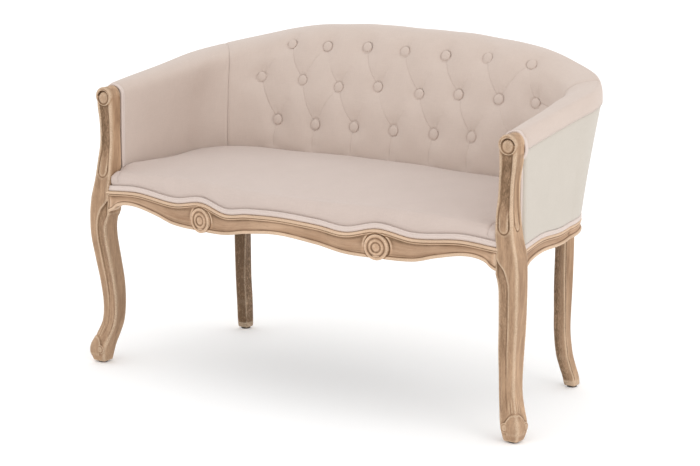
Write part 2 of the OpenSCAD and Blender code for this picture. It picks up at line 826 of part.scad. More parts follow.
// Heights of the face points at a place, and the column of the leaning seam at a height
function face_levels(w) = concat(
  [deck_h],
  [for (t = low_steps) mix(well_h, row_h, t)],
  [for (i = [1 : tuft_rows]) mix(row_h, brow_h(w), i / tuft_rows)]
);
function seam_at(z, brow) =
  seam_column - seam_lean / button_pitch * smooth((brow - z) / (brow - well_h));
// Columns outside the last button draw together with the seam
last_column = 3.5;
function leaned(column, z, brow) =
  let (beyond = max(abs(column) - last_column, 0) / (seam_column - last_column))
  sign(column) * (min(abs(column), last_column) + beyond * (seam_at(z, brow) - last_column));
function back_face(column) =
  let (top_w = column_place(column), brow = brow_h(top_w))
  [
    for (z = face_levels(top_w))
      let (c = leaned(column, z, brow), w = column_place(c))
      at_h(inner(w, z) - inward(w, z) * tuft(c, z), z)
  ];

face_points = 1 + len(low_steps) + tuft_rows;

module inside_back() {
  color(linen) loft(
    [
      for (i = [-back_columns : back_columns])
        let (c = i * seam_column / back_columns, w = column_place(c))
        concat(back_face(c), roll(w, roll_steps, tuft(c, brow_h(w))), pad_core(w))
    ],
    pad_cap(face_points, roll_steps)
  );
}

// Plain padded arm from the post to the seam in the rear corner
welt_room = 2 * cord_d + fit;
function arm_start() = 1 - side_end * welt_room / (ridge_level[2] - ridge_level[3] - post_back);
function arm_place(share, column) =
  mix(column_place(column) + place_gap, arm_start() - place_gap * 10, share);
function arm_face(share) =
  let (top_w = arm_place(share, seam_column), brow = brow_h(top_w))
  [
    for (z = face_levels(top_w))
      let (w = arm_place(share, seam_at(z, brow))) at_h(inner(w, z), z)
  ];

module inside_arm() {
  color(linen) loft(
    [
      for (share = places(0, 1, 12))
        let (w = arm_place(share, seam_column))
        concat(arm_face(share), roll(w, roll_steps), pad_core(w))
    ],
    pad_cap(face_points, roll_steps)
  );
}

// Outside panel between two places, from the welt on the rail to the seam
module outside_panel(from, to, steps) {
  color(linen) loft([
    for (w = places(to, from, steps))
      let (low = ring_top(w) + 2 * cord_d + fit, high = seam_h(w) - fit)
      [
        layer(w, panel_in, low), layer(w, panel_in, high),
        layer(w, panel_out, high), layer(w, panel_out, low)
      ]
  ]);
}

module outside_arm() {
  outside_panel(arm_start() - place_gap * 10, stile_w + place_gap, 14);
}

module outside_back() {
  outside_panel(stile_w - place_gap, -stile_w + place_gap, 28);
}

// Covered buttons in three rows, each on a shank that reaches the bottom of its tuft
shank_l = 5;
dome_h = 6;
button_rows = [[0, [-3 : 3]], [0.5, [-last_column : last_column]], [1, [-3 : 3]]];

module covered_button() {
  edge = button_d / 2;
  rotate_extrude() polygon(concat(
    [[0, 0], [2, 0], [2, shank_l], [edge - 1, shank_l], [edge, shank_l + 1.2]],
    [for (a = [15 : 15 : 90]) [edge * cos(a), shank_l + 1.2 + (dome_h - 1.2) * sin(a)]]
  ));
}

module back_buttons() {
  color(linen) for (row = button_rows, c = row[1]) {
    w = column_place(c);
    z = mix(row_h, brow_h(w), row[0]);
    in = inward(w, z);
    lean = inner(w, z + 5) - inner(w, z - 5);
    tilt = atan2(-(lean * in), 10);
    seat = inner(w, z) - in * (tuft_depth - fit);
    translate(at_h(seat, z)) rotate([0, 90 - tilt, atan2(in[1], in[0])]) covered_button();
  }
}

// Double welt: two cords side by side along a path, each ring given by its centre,
// the way across both cords and the way out
welt_outline = [
  [0.45, 0], [1, 1], [0.7, 1.7], [-0.7, 1.7], [-1, 1],
  [-0.45, 0], [-1, -1], [-0.7, -1.7], [0.7, -1.7], [1, -1]
];
function welt_ring(centre, across, out) =
  [for (p = welt_outline) centre + (out * p[0] + across * p[1]) * cord_d / 2];

module seat_welt() {
  end = half_front - 3;
  color(linen) loft([
    for (x = places(-end, end, 36))
      welt_ring([x, front_y(x) + lip_t - cord_d / 2, front_top(x) + cord_d], [0, 0, 1], [0, -1, 0])
  ]);
}

// Edge of the arm end as a line in the plane of the post's back face
function arm_edge() =
  let (
    inset = cord_d / 2 - 0.5,
    w = 1,
    low = ledge_h + seat_side_rise + 4,
    foot = ring_top(1) + cord_d * 2 + 1,
    face = [for (i = [0 : 4]) let (z = mix(low, brow_h(w), i / 4)) [inner(w, z)[0] + inset, z]],
    middle = [ridge_level[0], arm_h - inset],
    brow = [inner(w, brow_h(w))[0] + inset, brow_h(w)],
    seam = [side_x - inset, seam_h(w)]
  )
  concat(
    face,
    [for (i = [1 : 4]) let (a = quarter(i, 4))
      [middle[0] + (brow[0] - middle[0]) * cos(a), mix(brow[1], middle[1], sin(a))]],
    [for (i = [1 : 4]) let (a = quarter(i, 4))
      [middle[0] + (seam[0] - middle[0]) * sin(a), mix(seam[1], middle[1], cos(a))]],
    [for (i = [1 : 5]) [seam[0], mix(seam[1], foot, i / 5)]]
  );

module arm_welt() {
  line = arm_edge();
  color(linen) loft([
    for (i = [0 : len(line) - 1])
      let (
        run = unit(pick(line, i + 1) - pick(line, i - 1)),
        centre = [line[i][0], post_back + fit + cord_d, line[i][1]]
      )
      welt_ring(centre, [0, 1, 0], [-run[1], 0, run[0]])
  ]);
}

module outside_welt() {
  from = 1 - place_gap;
  color(linen) loft([
    for (w = places(from, -from, 60))
      let (centre = layer(w, panel_in - cord_d / 2, ring_top(w) + cord_d), in = inward(w, ledge_h))
      welt_ring(centre, [0, 0, 1], [-in[0], -in[1], 0])
  ]);
}

module dust_cover() {
  thickness = 0.8;
  depth = rail_t + 2 * fit;
  function inside(w) = let (p = layer(w, depth, joint_h)) [p[0], p[1]];
  front_end = front_chord[0][0] - 2 * screw_d;
  right_edge = concat(
    [for (x = places(0, front_end, 8)) [x, front_y(x) + depth]],
    [for (w = places(0.915, 0.575, 6)) inside(w)],
    [for (w = places(0.325, 0, 8)) inside(w)]
  );
  left_edge = [for (i = [len(right_edge) - 2 : -1 : 1]) [-right_edge[i][0], right_edge[i][1]]];
  color("dimgray") translate([0, 0, ledge_h - 11])
    linear_extrude(thickness) polygon(concat(right_edge, left_edge));
}

module floor_glides() {
  front = flow(leg_course, glide_h);
  rear = flow(rear_course, glide_h);
  color("dimgray") for (side = [-1, 1]) {
    translate([side * (post_x + front[0]), post_y - front[1], 0]) cylinder(d = glide_d, h = glide_h);
    translate([side * (rear_leg_x + rear[0]), rear_leg_y + rear[1], 0])
      cylinder(d = glide_d, h = glide_h);
  }
}

placed() mirrored() front_leg();  // front_left_leg
placed() front_leg();  // front_right_leg
placed() mirrored() rear_leg();  // rear_left_leg
placed() rear_leg();  // rear_right_leg
placed() front_rail();
placed() mirrored() side_rail();  // left_side_rail
placed() side_rail();  // right_side_rail
placed() back_rail();
placed() mirrored() arm_rail();  // left_arm_rail
placed() arm_rail();  // right_arm_rail
placed() crest_rail();
placed() rail_dowels();
placed() corner_blocks();
placed() corner_block_screws();
placed() seat_webbing();
placed() back_webbing();
placed() seat_foam();
placed() seat_cover();
placed() inside_back();
placed() mirrored() inside_arm();  // left_inside_arm
placed() inside_arm();  // right_inside_arm
placed() outside_back();
placed() mirrored() outside_arm();  // left_outside_arm
placed() outside_arm();  // right_outside_arm
placed() back_buttons();
placed() seat_welt();
placed() mirrored() arm_welt();  // left_arm_welt
placed() arm_welt();  // right_arm_welt
placed() outside_welt();
placed() dust_cover();
placed() floor_glides();
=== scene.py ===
import math
import bpy
import numpy as np
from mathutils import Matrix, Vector


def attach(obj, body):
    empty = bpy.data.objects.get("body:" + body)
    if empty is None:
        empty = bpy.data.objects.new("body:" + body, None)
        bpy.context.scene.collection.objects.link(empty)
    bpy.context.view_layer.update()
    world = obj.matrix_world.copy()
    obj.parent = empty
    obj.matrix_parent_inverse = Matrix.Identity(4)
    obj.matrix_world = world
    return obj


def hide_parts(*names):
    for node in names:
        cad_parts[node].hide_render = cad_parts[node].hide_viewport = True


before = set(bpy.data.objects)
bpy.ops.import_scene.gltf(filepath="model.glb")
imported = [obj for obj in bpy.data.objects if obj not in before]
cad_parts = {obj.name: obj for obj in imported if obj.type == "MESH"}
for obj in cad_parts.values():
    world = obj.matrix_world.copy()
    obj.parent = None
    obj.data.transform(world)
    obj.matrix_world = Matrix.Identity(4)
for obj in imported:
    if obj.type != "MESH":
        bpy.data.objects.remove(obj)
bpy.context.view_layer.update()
print("stage: frame loaded")

# Sizes of the shell in millimetres, Y counted from the front feet as in the CAD source
shell = {
    "midDepth": 226.5, "postBack": 28.0, "sideX": 548.0, "postX": 522.0, "postY": 11.0,
    "ledge": 394.0, "armTop": 643.0, "cornerTop": 697.0, "backTop": 754.0,
    "deck": 397.9, "well": 476.0, "level": 716.0,
    "sideEnd": 0.4, "cornerEnd": 0.7, "backFlat": 262.5, "cornerPower": 2.6, "lean": 1.2, "innerLean": 1.6,
    "pitch": 105.0, "seamDrop": 38.0, "armBrow": 22.0, "backBrow": 45.0, "ridgeCover": 20.0,
    "panelOut": 2.0, "panelIn": 6.0, "frameOut": 8.5, "frameIn": 26.0, "padBack": 28.4,
    "railThick": 26.0, "lip": 10.0, "jointX": 505.0, "frontFace": -20.0, "cord": 5.0, "fit": 0.3,
}
# Plans by height: half width at the post, at the corner, back, corner depth, bow of the back
levels = {
    "rail": (548.0, 520.0, 425.0, 155.0, 0.0),
    "top": (548.0, 547.0, 524.0, 226.0, 0.0),
    "ridge": (523.0, 522.0, 498.0, 196.0, 0.0),
    "well": (497.0, 478.0, 356.0, 118.0, 8.0),
    "brow": (495.0, 468.0, 427.0, 157.0, 0.0),
}


# a + (b - a) t
def mixTo(a, b, t):
    return a + (b - a) * t


# 3 t squared - 2 t cubed, between 0 and 1
def ease(t):
    t = np.clip(t, 0.0, 1.0)
    return t * t * (3.0 - 2.0 * t)


# Window: eased up from low over the length rise, and down from high over the length fall
def between(z, low, rise, high, fall):
    return ease((z - low) / rise) * (1 - ease((z - high) / fall))


# Gaussian: e to the minus (away / width) squared
def bell(away, width):
    return np.exp(-(away / width) ** 2)


# Cubic through [place, values] rows, its slope at a row that of its two neighbours
def flow(rows, t):
    table = np.asarray(rows, float)
    x, y = table[:, 0], table[:, 1:]
    last = len(x) - 1
    before = np.clip(np.arange(last + 1) - 1, 0, last)
    after = np.clip(np.arange(last + 1) + 1, 0, last)
    slope = (y[after] - y[before]) / (x[after] - x[before])[:, None]
    t = np.asarray(t, float)
    i = np.clip(np.searchsorted(x, t, side="right") - 1, 0, last - 1)
    run = x[i + 1] - x[i]
    u = ((t - x[i]) / run)[..., None]
    run = run[..., None]
    value = ((2 * u ** 3 - 3 * u ** 2 + 1) * y[i] + (u ** 3 - 2 * u ** 2 + u) * run * slope[i]
             + (3 * u ** 2 - 2 * u ** 3) * y[i + 1] + (u ** 3 - u ** 2) * run * slope[i + 1])
    return value[..., 0] if y.shape[1] == 1 else value


# The same cubic through evenly spaced rows, read at a count of places
def smoothRows(rows, count):
    return flow([[k, *row] for k, row in enumerate(rows)], np.linspace(0, len(rows) - 1, count))


# Tapered U in plan at a place w: straight sides, superelliptic corners, bowed back
def planAt(name, w):
    half, corner, back, depth, bow = levels[name]
    w = np.asarray(w, float)
    s, turn = 1 - np.abs(w), np.sign(w)
    start = back - depth
    share = s / shell["sideEnd"]
    a = np.clip((s - shell["sideEnd"]) / (shell["cornerEnd"] - shell["sideEnd"]), 0, 1) * np.pi / 2
    power = 2 / shell["cornerPower"]
    flat = shell["backFlat"]
    x = flat * (1 - s) / (1 - shell["cornerEnd"])
    isSide, isCorner = s < shell["sideEnd"], s < shell["cornerEnd"]
    px = np.where(isSide, mixTo(half, corner, share),
                  np.where(isCorner, flat + (corner - flat) * np.cos(a) ** power, x))
    py = np.where(isSide, mixTo(shell["postBack"], start, share),
                  np.where(isCorner, start + depth * np.sin(a) ** power,
                           back + bow * (1 + np.cos(np.pi * x / flat)) / 2))
    return np.stack([turn * px, py], axis=-1)


# Place w of a column counted from the middle in button pitches, the corner's ellipse solved for its angle
def columnPlace(c):
    c = np.asarray(c, float)
    flat, span = shell["backFlat"], levels["brow"][1] - shell["backFlat"]
    x = np.abs(c) * shell["pitch"]
    reach = np.clip((x - flat) / span, 0, 1)
    a = np.degrees(np.arccos(reach ** (shell["cornerPower"] / 2)))
    rest = 1 - shell["cornerEnd"]
    far = rest + (90 - a) / 90 * (shell["cornerEnd"] - shell["sideEnd"])
    return np.sign(c) * np.where(x <= flat, x / flat * rest, far)


# Top edge by the share of its way, its heights as shares from one named height to the next
edgeLine = [[place, mixTo(shell[low], shell[high], share)] for low, high, steps in (
    ("armTop", "cornerTop", ((0, 0), (0.14, 0.306), (0.28, 0.602), (0.42, 0.883))),
    ("cornerTop", "backTop", ((0.56, 0.262), (0.7, 0.732), (0.85, 0.971), (1, 1), (1.15, 0.971))),
) for place, share in steps]


# Height of the top edge, by the way covered in plan inward and back together,
# and of the brow, seam and inner frame that hang from it
def topAt(w):
    plan, (half, _, back, _, _) = planAt("ridge", w), levels["ridge"]
    share = (plan[..., 1] - shell["postBack"] + half - np.abs(plan[..., 0])) / (back - shell["postBack"] + half)
    return flow(edgeLine, share)


# The brow's drop eases from the arm's to the back's
def browAt(w):
    return topAt(w) - mixTo(shell["armBrow"], shell["backBrow"], ease((0.42 - np.abs(w)) / 0.3))


def seamAt(w):
    return topAt(w) - shell["seamDrop"]


def frameTopAt(w):
    return topAt(w) - shell["ridgeCover"]


# Outer face: rail plan to top plan by a power of the height
def outerAt(w, z):
    t = (np.maximum(z, shell["ledge"]) - shell["ledge"]) / (shell["level"] - shell["ledge"])
    return mixTo(planAt("rail", w), planAt("top", w), np.asarray(t ** shell["lean"])[..., None])


# Inner face: the well's plan, then a blend to the brow's plan by a power of the height, and held above the brow
def innerAt(w, z):
    brow = browAt(w)
    t = np.clip((z - shell["well"]) / (brow - shell["well"]), 0, 2) ** shell["innerLean"]
    return mixTo(planAt("well", w), planAt("brow", w), np.asarray(t)[..., None])


def innerHeld(w, z):
    return innerAt(w, np.minimum(z, browAt(w)))


# Each row divided by its length
def unitRows(v):
    return v / np.linalg.norm(v, axis=-1, keepdims=True)


# Direction in plan from the outer to the inner face
def inwardAt(w, z):
    return unitRows(innerHeld(w, z) - outerAt(w, z))


# Places in plan p raised to the height z
def withHeight(p, z):
    z = np.broadcast_to(z, p.shape[:-1])
    return np.concatenate([p, z[..., None]], axis=-1)


# Outer face plus the inward direction times the depth
def layerAt(w, depth, z):
    w, z = np.broadcast_arrays(np.asarray(w, float), np.asarray(z, float))
    return withHeight(outerAt(w, z) + inwardAt(w, z) * np.asarray(depth)[..., None], z)


# Serpentines of the rails: rows of a share of the way, and millimetres behind the front face or above the ledge
railLines = {
    "face": [[-0.24, -36.5], [0, -50], [0.24, -36.5], [0.48, -18], [0.72, -5], [1, 0]],
    "frontTop": [[-0.18, 15], [0, 21], [0.18, 15], [0.31, 6], [230 / 505, 20], [0.62, 8], [0.84, 17], [1, 12]],
    "frontLow": [[-0.18, -26], [0, -16], [0.18, -26], [0.31, -39], [230 / 505, -42], [0.62, -40],
                 [0.73, -26], [0.86, -14], [0.95, -20], [1, -42]],
    "ringTop": [[0, 3], [0.155, 10], [0.33, 3], [0.52, 11], [0.75, 7], [1, 12], [1.25, 7]],
    "ringLow": [[0, -42], [0.05, -27], [0.155, -20], [0.33, -25], [0.52, -15], [0.75, -20], [1, -14], [1.25, -20]],
}


# Front rail's lines by the distance x from the middle, the other rails' by the place w
def frontRun(name, x):
    return flow(railLines[name], np.minimum(np.abs(x) / shell["jointX"], 1))


def frontY(x):
    return shell["frontFace"] + frontRun("face", x)


def frontTop(x):
    return shell["ledge"] + frontRun("frontTop", x)


def ringTop(w):
    return shell["ledge"] + flow(railLines["ringTop"], 1 - np.abs(w))


# Sum of slow waves with seeded phases, about -1 to 1
def slowWaves(seed, a, b, length, count=7):
    rng = np.random.default_rng(seed)
    total = np.zeros(np.broadcast(a, b).shape)
    for _ in range(count):
        turn, phase = rng.uniform(0, np.pi), rng.uniform(0, 2 * np.pi)
        pitch = length * rng.uniform(0.6, 1.6)
        total += np.sin(2 * np.pi * (a * math.cos(turn) + b * math.sin(turn)) / pitch + phase)
    return total / math.sqrt(count)


# Normal of each point of a grid, from the cross product of its two central differences
def gridNormals(grid):
    n = np.cross(np.gradient(grid, axis=0), np.gradient(grid, axis=1))
    return n / np.maximum(np.linalg.norm(n, axis=-1, keepdims=True), 1e-9)


# Mean length of a grid's steps along an axis, from each row or column to the next
def stepLengths(grid, axis):
    return np.linalg.norm(np.diff(grid, axis=axis), axis=2).mean(axis=1 - axis)


# Distance run along a row of steps, from nil
def running(steps):
    return np.concatenate([[0], np.cumsum(steps)])


# Turned piece: radius and length rows swept round an axis, with two directions across it
def turned(rows, centre, axis, across, up, count=96):
    a = np.linspace(0, 2 * np.pi, count, endpoint=False)
    axis, across, up = (np.asarray(v, float) for v in (axis, across, up))
    return (np.asarray(centre, float) + rows[:, 0, None, None]
            * (np.cos(a)[None, :, None] * across + np.sin(a)[None, :, None] * up) + rows[:, 1, None, None] * axis)


# Object at the origin, with its place in its mesh
def placed(name, data):
    obj = bpy.data.objects.new(name, data)
    bpy.context.scene.collection.objects.link(obj)
    return obj


# Closed tube of rings with a fan over each end, turned outward by the sign of its volume.
# UV is the running length along rows and columns in millimetres, the flat place on an end.
def tubeParts(grid, offset):
    rows, cols = grid.shape[:2]
    u = running(stepLengths(np.concatenate([grid, grid[:, :1]], axis=1), 1))
    v = running(stepLengths(grid, 0))
    i, j = (m.ravel() for m in np.meshgrid(np.arange(rows - 1), np.arange(cols), indexing="ij"))
    corners = ((0, 0), (0, 1), (1, 1), (1, 0))
    quads = np.stack([(i + down) * cols + (j + on) % cols for down, on in corners], axis=1)
    quadUvs = np.stack([np.stack([u[j + on], v[i + down]], 1) for down, on in corners], axis=1)
    points, fans, fanUvs = [grid.reshape(-1, 3)], [], []
    around = np.arange(cols)
    for tip, row, order in ((rows * cols, 0, [1, 0, 2]), (rows * cols + 1, rows - 1, [0, 1, 2])):
        ring = grid[row]
        middle = ring.mean(axis=0)
        fan = np.stack([around, (around + 1) % cols, np.full(cols, cols)], axis=1)[:, order]
        widest = np.argsort(-np.ptp(ring, axis=0))[:2]
        fanUvs.append(np.concatenate([ring[:, widest], middle[None, widest]])[fan])
        fans.append(np.where(fan == cols, tip, fan + row * cols))
        points.append(middle[None])
    points, faces = np.concatenate(points), (quads, np.concatenate(fans))
    volume = sum(np.einsum("ij,ij->i", points[f[:, 0]], np.cross(points[f[:, k]], points[f[:, k + 1]])).sum()
                 for f in faces for k in range(1, f.shape[1] - 1))
    way = -1 if volume < 0 else 1
    return points, [f[:, ::way] + offset for f in faces], [t[:, ::way] for t in (quadUvs, np.concatenate(fanUvs))]


# One object from closed tubes: the quads of all, then the fans of all. A grid whose rings are its
# columns is across.
def tubeObject(name, *grids, isAcross=False):
    parts, count = [], 0
    for grid in grids:
        parts.append(tubeParts(grid.transpose(1, 0, 2) if isAcross else grid, count))
        count += len(parts[-1][0])
    faces, uvs = ([np.concatenate([part[kind][k] for part in parts]) for k in (0, 1)] for kind in (1, 2))
    mesh = bpy.data.meshes.new(name)
    mesh.vertices.add(count)
    co = np.concatenate([part[0] for part in parts]) / 1000.0
    co[:, 1] -= shell["midDepth"] / 1000.0
    mesh.vertices.foreach_set("co", co.astype(np.float32).ravel())
    corners = np.concatenate([f.ravel() for f in faces])
    sizes = np.repeat([4, 3], [len(f) for f in faces])
    mesh.loops.add(len(corners))
    mesh.loops.foreach_set("vertex_index", corners.astype(np.int32))
    mesh.polygons.add(len(sizes))
    mesh.polygons.foreach_set("loop_start", (np.cumsum(sizes) - sizes).astype(np.int32))
    mesh.update(calc_edges=True)
    flatPlaces = np.concatenate([t.reshape(-1, 2) for t in uvs]) / 1000.0
    mesh.uv_layers.new(name="UVMap").data.foreach_set("uv", flatPlaces.astype(np.float32).ravel())
    mesh.validate()
    mesh.polygons.foreach_set("use_smooth", np.ones(len(mesh.polygons), bool))
    return placed(name, mesh)


# One value for each vertex, and rows of three read back
def storeValue(mesh, label, values):
    attribute = mesh.attributes.new(label, "FLOAT", "POINT")
    attribute.data.foreach_set("value", np.asarray(values, np.float32))


def rowsOf(data, label):
    flat = np.empty(len(data) * 3, np.float32)
    data.foreach_get(label, flat)
    return flat.reshape(-1, 3)


# Vertex places in millimetres, Y counted from the front feet
def naturalPlaces(mesh):
    return rowsOf(mesh.vertices, "co").astype(float) * 1000.0 + [0.0, shell["midDepth"], 0.0]


# Relief in millimetres: the mean of the neighbours, taken again and again, minus the point,
# along the normal. Above zero in a recess, below zero on an edge.
def setRelief(mesh, rounds=16):
    n = len(mesh.vertices)
    co = rowsOf(mesh.vertices, "co").astype(float)
    ends = np.empty(len(mesh.edges) * 2, np.int32)
    mesh.edges.foreach_get("vertices", ends)
    a, b = ends.reshape(-1, 2).T
    degree = np.maximum(np.bincount(a, minlength=n) + np.bincount(b, minlength=n), 1)
    soft = co.copy()
    for _ in range(rounds):
        soft = np.stack([(np.bincount(a, soft[b, k], n) + np.bincount(b, soft[a, k], n)) / degree for k in range(3)],
                        axis=1)
    storeValue(mesh, "relief", ((soft - co) * rowsOf(mesh.vertex_normals, "vector")).sum(axis=1) * 1000.0)


# Piece on the one body, in place of its CAD node, with its finish
def standFor(obj, node, finish):
    obj.data.materials.append(materials[finish])
    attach(obj, "root")
    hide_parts(node)


# Sockets of a node: a value is linked where it is an output, else typed in
def fill(tree, node, values):
    for key, value in values.items():
        if hasattr(value, "is_output"):
            tree.links.new(value, node.inputs[key])
        else:
            node.inputs[key].default_value = value
    return node


# New node with its settings, then its sockets
def addNode(tree, kind, values=None, **settings):
    made = tree.nodes.new(kind)
    for key, value in settings.items():
        setattr(made, key, value)
    return fill(tree, made, values or {})


# The piece's own coordinates, Object or UV
def coordinate(tree, kind="Object"):
    return addNode(tree, "ShaderNodeTexCoord").outputs[kind]


# Noise of a vector, stretched where an axis has a factor under 1
def noiseAt(tree, vector, scale, detail, rough, warp=0.0, stretch=None):
    if stretch:
        vector = addNode(tree, "ShaderNodeVectorMath", {0: vector, 1: stretch}, operation="MULTIPLY").outputs[0]
    return addNode(tree, "ShaderNodeTexNoise", {
        "Vector": vector, "Scale": scale, "Detail": detail, "Roughness": rough, "Distortion": warp,
    }, noise_dimensions="3D").outputs["Fac"]


# From one range to another, held at its ends
def ranged(tree, value, low, high, toLow=0.0, toHigh=1.0):
    return addNode(tree, "ShaderNodeMapRange", {
        "Value": value, "From Min": low, "From Max": high, "To Min": toLow, "To Max": toHigh,
    }, clamp=True).outputs["Result"]


# One sum or other operation of two values
def mathOf(tree, kind, a, b=0.0):
    return addNode(tree, "ShaderNodeMath", {0: a, 1: b}, operation=kind).outputs[0]


# Sum of values, each times its own weight
def weighed(tree, *pairs):
    parts = [mathOf(tree, "MULTIPLY", value, weight) for value, weight in pairs]
    total = parts[0]
    for part in parts[1:]:
        total = mathOf(tree, "ADD", total, part)
    return total


# a + (b - a) factor, of two colours or two values
def mixColour(tree, factor, a, b):
    return addNode(tree, "ShaderNodeMix", {0: factor, 6: a, 7: b}, data_type="RGBA").outputs[2]


def mixValue(tree, factor, a, b):
    return addNode(tree, "ShaderNodeMix", {0: factor, 2: a, 3: b}, data_type="FLOAT").outputs[0]


# Group with a vector, floats and colours going in, and a colour, a roughness and a height coming out
def newGroup(name, **inputs):
    tree = bpy.data.node_groups.new(name, "ShaderNodeTree")
    tree.interface.new_socket(name="Vector", in_out="INPUT", socket_type="NodeSocketVector")
    for label, value in inputs.items():
        kind = "NodeSocketFloat" if isinstance(value, float) else "NodeSocketColor"
        tree.interface.new_socket(name=label, in_out="INPUT", socket_type=kind).default_value = value
    for label, kind in (("Color", "Color"), ("Roughness", "Float"), ("Height", "Float")):
        tree.interface.new_socket(name=label, in_out="OUTPUT", socket_type="NodeSocket" + kind)
    return tree, tree.nodes.new("NodeGroupInput").outputs


# What the group puts out
def closeGroup(tree, color, rough, height):
    addNode(tree, "NodeGroupOutput", {"Color": color, "Roughness": rough, "Height": height})
    return tree


# legLight and legDark are the rails' oak darkened for the shade that falls on the legs: painted shade
wood = {
    "light": (0.59, 0.395, 0.262, 1), "dark": (0.375, 0.222, 0.130, 1),
    "glaze": (0.125, 0.068, 0.030, 1), "lime": (0.76, 0.60, 0.44, 1),
    "legLight": (0.53, 0.345, 0.215, 1), "legDark": (0.27, 0.157, 0.087, 1),
    "innerLight": (0.70, 0.52, 0.33, 1), "innerDark": (0.52, 0.36, 0.21, 1),
}


# Limed oak: streaks along Z, dark pores, brown glaze where relief is above zero and
# pale lime where it is below, both broken up by noise
def woodFigure():
    tree, given = newGroup("woodFigure", Relief=0.0, Stain=0.0, Glaze=1.0, Light=wood["light"], Dark=wood["dark"])
    vector, relief = given["Vector"], given["Relief"]
    streaks = noiseAt(tree, vector, 300, 5, 0.62, 0.2, (1, 1, 0.05))
    figure = noiseAt(tree, vector, 42, 4, 0.6, 0.8, (1, 1, 0.13))
    clouds = noiseAt(tree, vector, 26, 3, 0.6)
    pores = ranged(tree, noiseAt(tree, vector, 900, 2, 0.5, 0.0, (1, 1, 0.06)), 0.60, 0.70)
    crumbs = noiseAt(tree, vector, 520, 4, 0.7)
    tone = weighed(tree, (figure, 0.6), (streaks, 0.4))
    base = mixColour(tree, ranged(tree, tone, 0.36, 0.64), given["Dark"], given["Light"])
    base = mixColour(tree, weighed(tree, (pores, 0.35)), base, wood["glaze"])
    patch = ranged(tree, weighed(tree, (clouds, 0.5), (crumbs, 0.5)), 0.40, 0.60, 0.55, 1.0)
    recess = weighed(tree, (weighed(tree, (ranged(tree, relief, 0.03, 0.34), patch)), given["Glaze"]))
    flecks = ranged(tree, noiseAt(tree, vector, 330, 4, 0.75, 0.6, (1, 1, 0.35)), 0.40, 0.60, 0.25, 1.0)
    # Darkened further by the leg attribute: glaze in the channels and the quirk, and painted shade on the legs'
    # forward, inward and back faces
    darkGlazeAndShade = mathOf(tree, "MAXIMUM", recess, weighed(tree, (given["Stain"], flecks)))
    base = mixColour(tree, weighed(tree, (darkGlazeAndShade, 0.92)), base, wood["glaze"])
    edge = weighed(tree, (ranged(tree, relief, -0.06, -0.50), ranged(tree, crumbs, 0.35, 0.6, 0.2, 1.0)))
    base = mixColour(tree, weighed(tree, (edge, 0.55)), base, wood["lime"])
    rough = mathOf(tree, "ADD", ranged(tree, streaks, 0.3, 0.7, 0.52, 0.72), weighed(tree, (recess, 0.1)))
    rugged = mathOf(tree, "ADD", 0.5, weighed(tree, (given["Stain"], 2.0)))
    return closeGroup(tree, base, rough, weighed(tree, (streaks, 0.6), (crumbs, rugged), (pores, -0.5)))


# Plain weave: warp and weft threads in turn on top, with slow slubs in both
def plainWeave():
    tree, given = newGroup("plainWeave", Thread=900.0, Light=(0.7, 0.6, 0.5, 1), Dark=(0.6, 0.5, 0.42, 1))
    vector = given["Vector"]
    split = addNode(tree, "ShaderNodeSeparateXYZ", {0: vector})
    waves = [mathOf(tree, "SINE", weighed(tree, (weighed(tree, (split.outputs[k], given["Thread"])), math.pi)))
             for k in (0, 1)]
    over = ranged(tree, weighed(tree, tuple(waves)), -0.3, 0.3)
    weave = mixValue(tree, over, *(mathOf(tree, "ABSOLUTE", wave) for wave in waves))
    slub = mixValue(tree, over, noiseAt(tree, vector, 620, 2, 0.6, 0.0, (1, 0.06, 1)),
                    noiseAt(tree, vector, 620, 2, 0.6, 0.0, (0.06, 1, 1)))
    clouds = noiseAt(tree, vector, 14, 3, 0.6)
    shade = weighed(tree, (slub, 0.75), (clouds, 0.35), (weave, 0.45))
    color = mixColour(tree, ranged(tree, shade, 0.45, 1.1), given["Dark"], given["Light"])
    return closeGroup(tree, color, ranged(tree, slub, 0.3, 0.7, 0.82, 0.95), weighed(tree, (weave, 0.7), (slub, 0.6)))


groups = {"wood": woodFigure(), "weave": plainWeave()}


# Material, its tree and its shader
def newMaterial(name):
    material = bpy.data.materials.new(name)
    material.use_nodes = True
    return material, material.node_tree, material.node_tree.nodes["Principled BSDF"]


# Colour, roughness and, with a bump of strength and distance, a height linked to the shader
def dress(tree, shader, color, rough, height=None, bump=(0.0, 0.0)):
    fill(tree, shader, {"Base Color": color, "Roughness": rough})
    if height:
        raised = addNode(tree, "ShaderNodeBump", {"Strength": bump[0], "Distance": bump[1], "Height": height})
        fill(tree, shader, {"Normal": raised.outputs["Normal"]})


# Group placed in a material with its own values
def useGroup(tree, shader, group, values, bump):
    made = addNode(tree, "ShaderNodeGroup", values, node_tree=groups[group])
    dress(tree, shader, made.outputs["Color"], made.outputs["Roughness"], made.outputs["Height"], bump)


# Wood with its grain along Z; axes says which coordinate goes into which, where the grain runs another way
def woodMaterial(name, coords, axes, light, dark, hasRelief=True, glaze=1.0):
    material, tree, shader = newMaterial(name)
    vector = coordinate(tree, coords)
    if axes:
        split = addNode(tree, "ShaderNodeSeparateXYZ", {0: vector})
        vector = addNode(tree, "ShaderNodeCombineXYZ", {to: split.outputs[at] for to, at in axes.items()}).outputs[0]
    values = {"Vector": vector, "Light": wood[light], "Dark": wood[dark], "Glaze": glaze}
    if hasRelief:
        values["Relief"] = addNode(tree, "ShaderNodeAttribute", attribute_name="relief").outputs["Fac"]
        values["Stain"] = addNode(tree, "ShaderNodeAttribute", attribute_name="glazeAndShade").outputs["Fac"]
    useGroup(tree, shader, "wood", values, (0.35, 0.0006))
    fill(tree, shader, {"Specular IOR Level": 0.35})
    return material


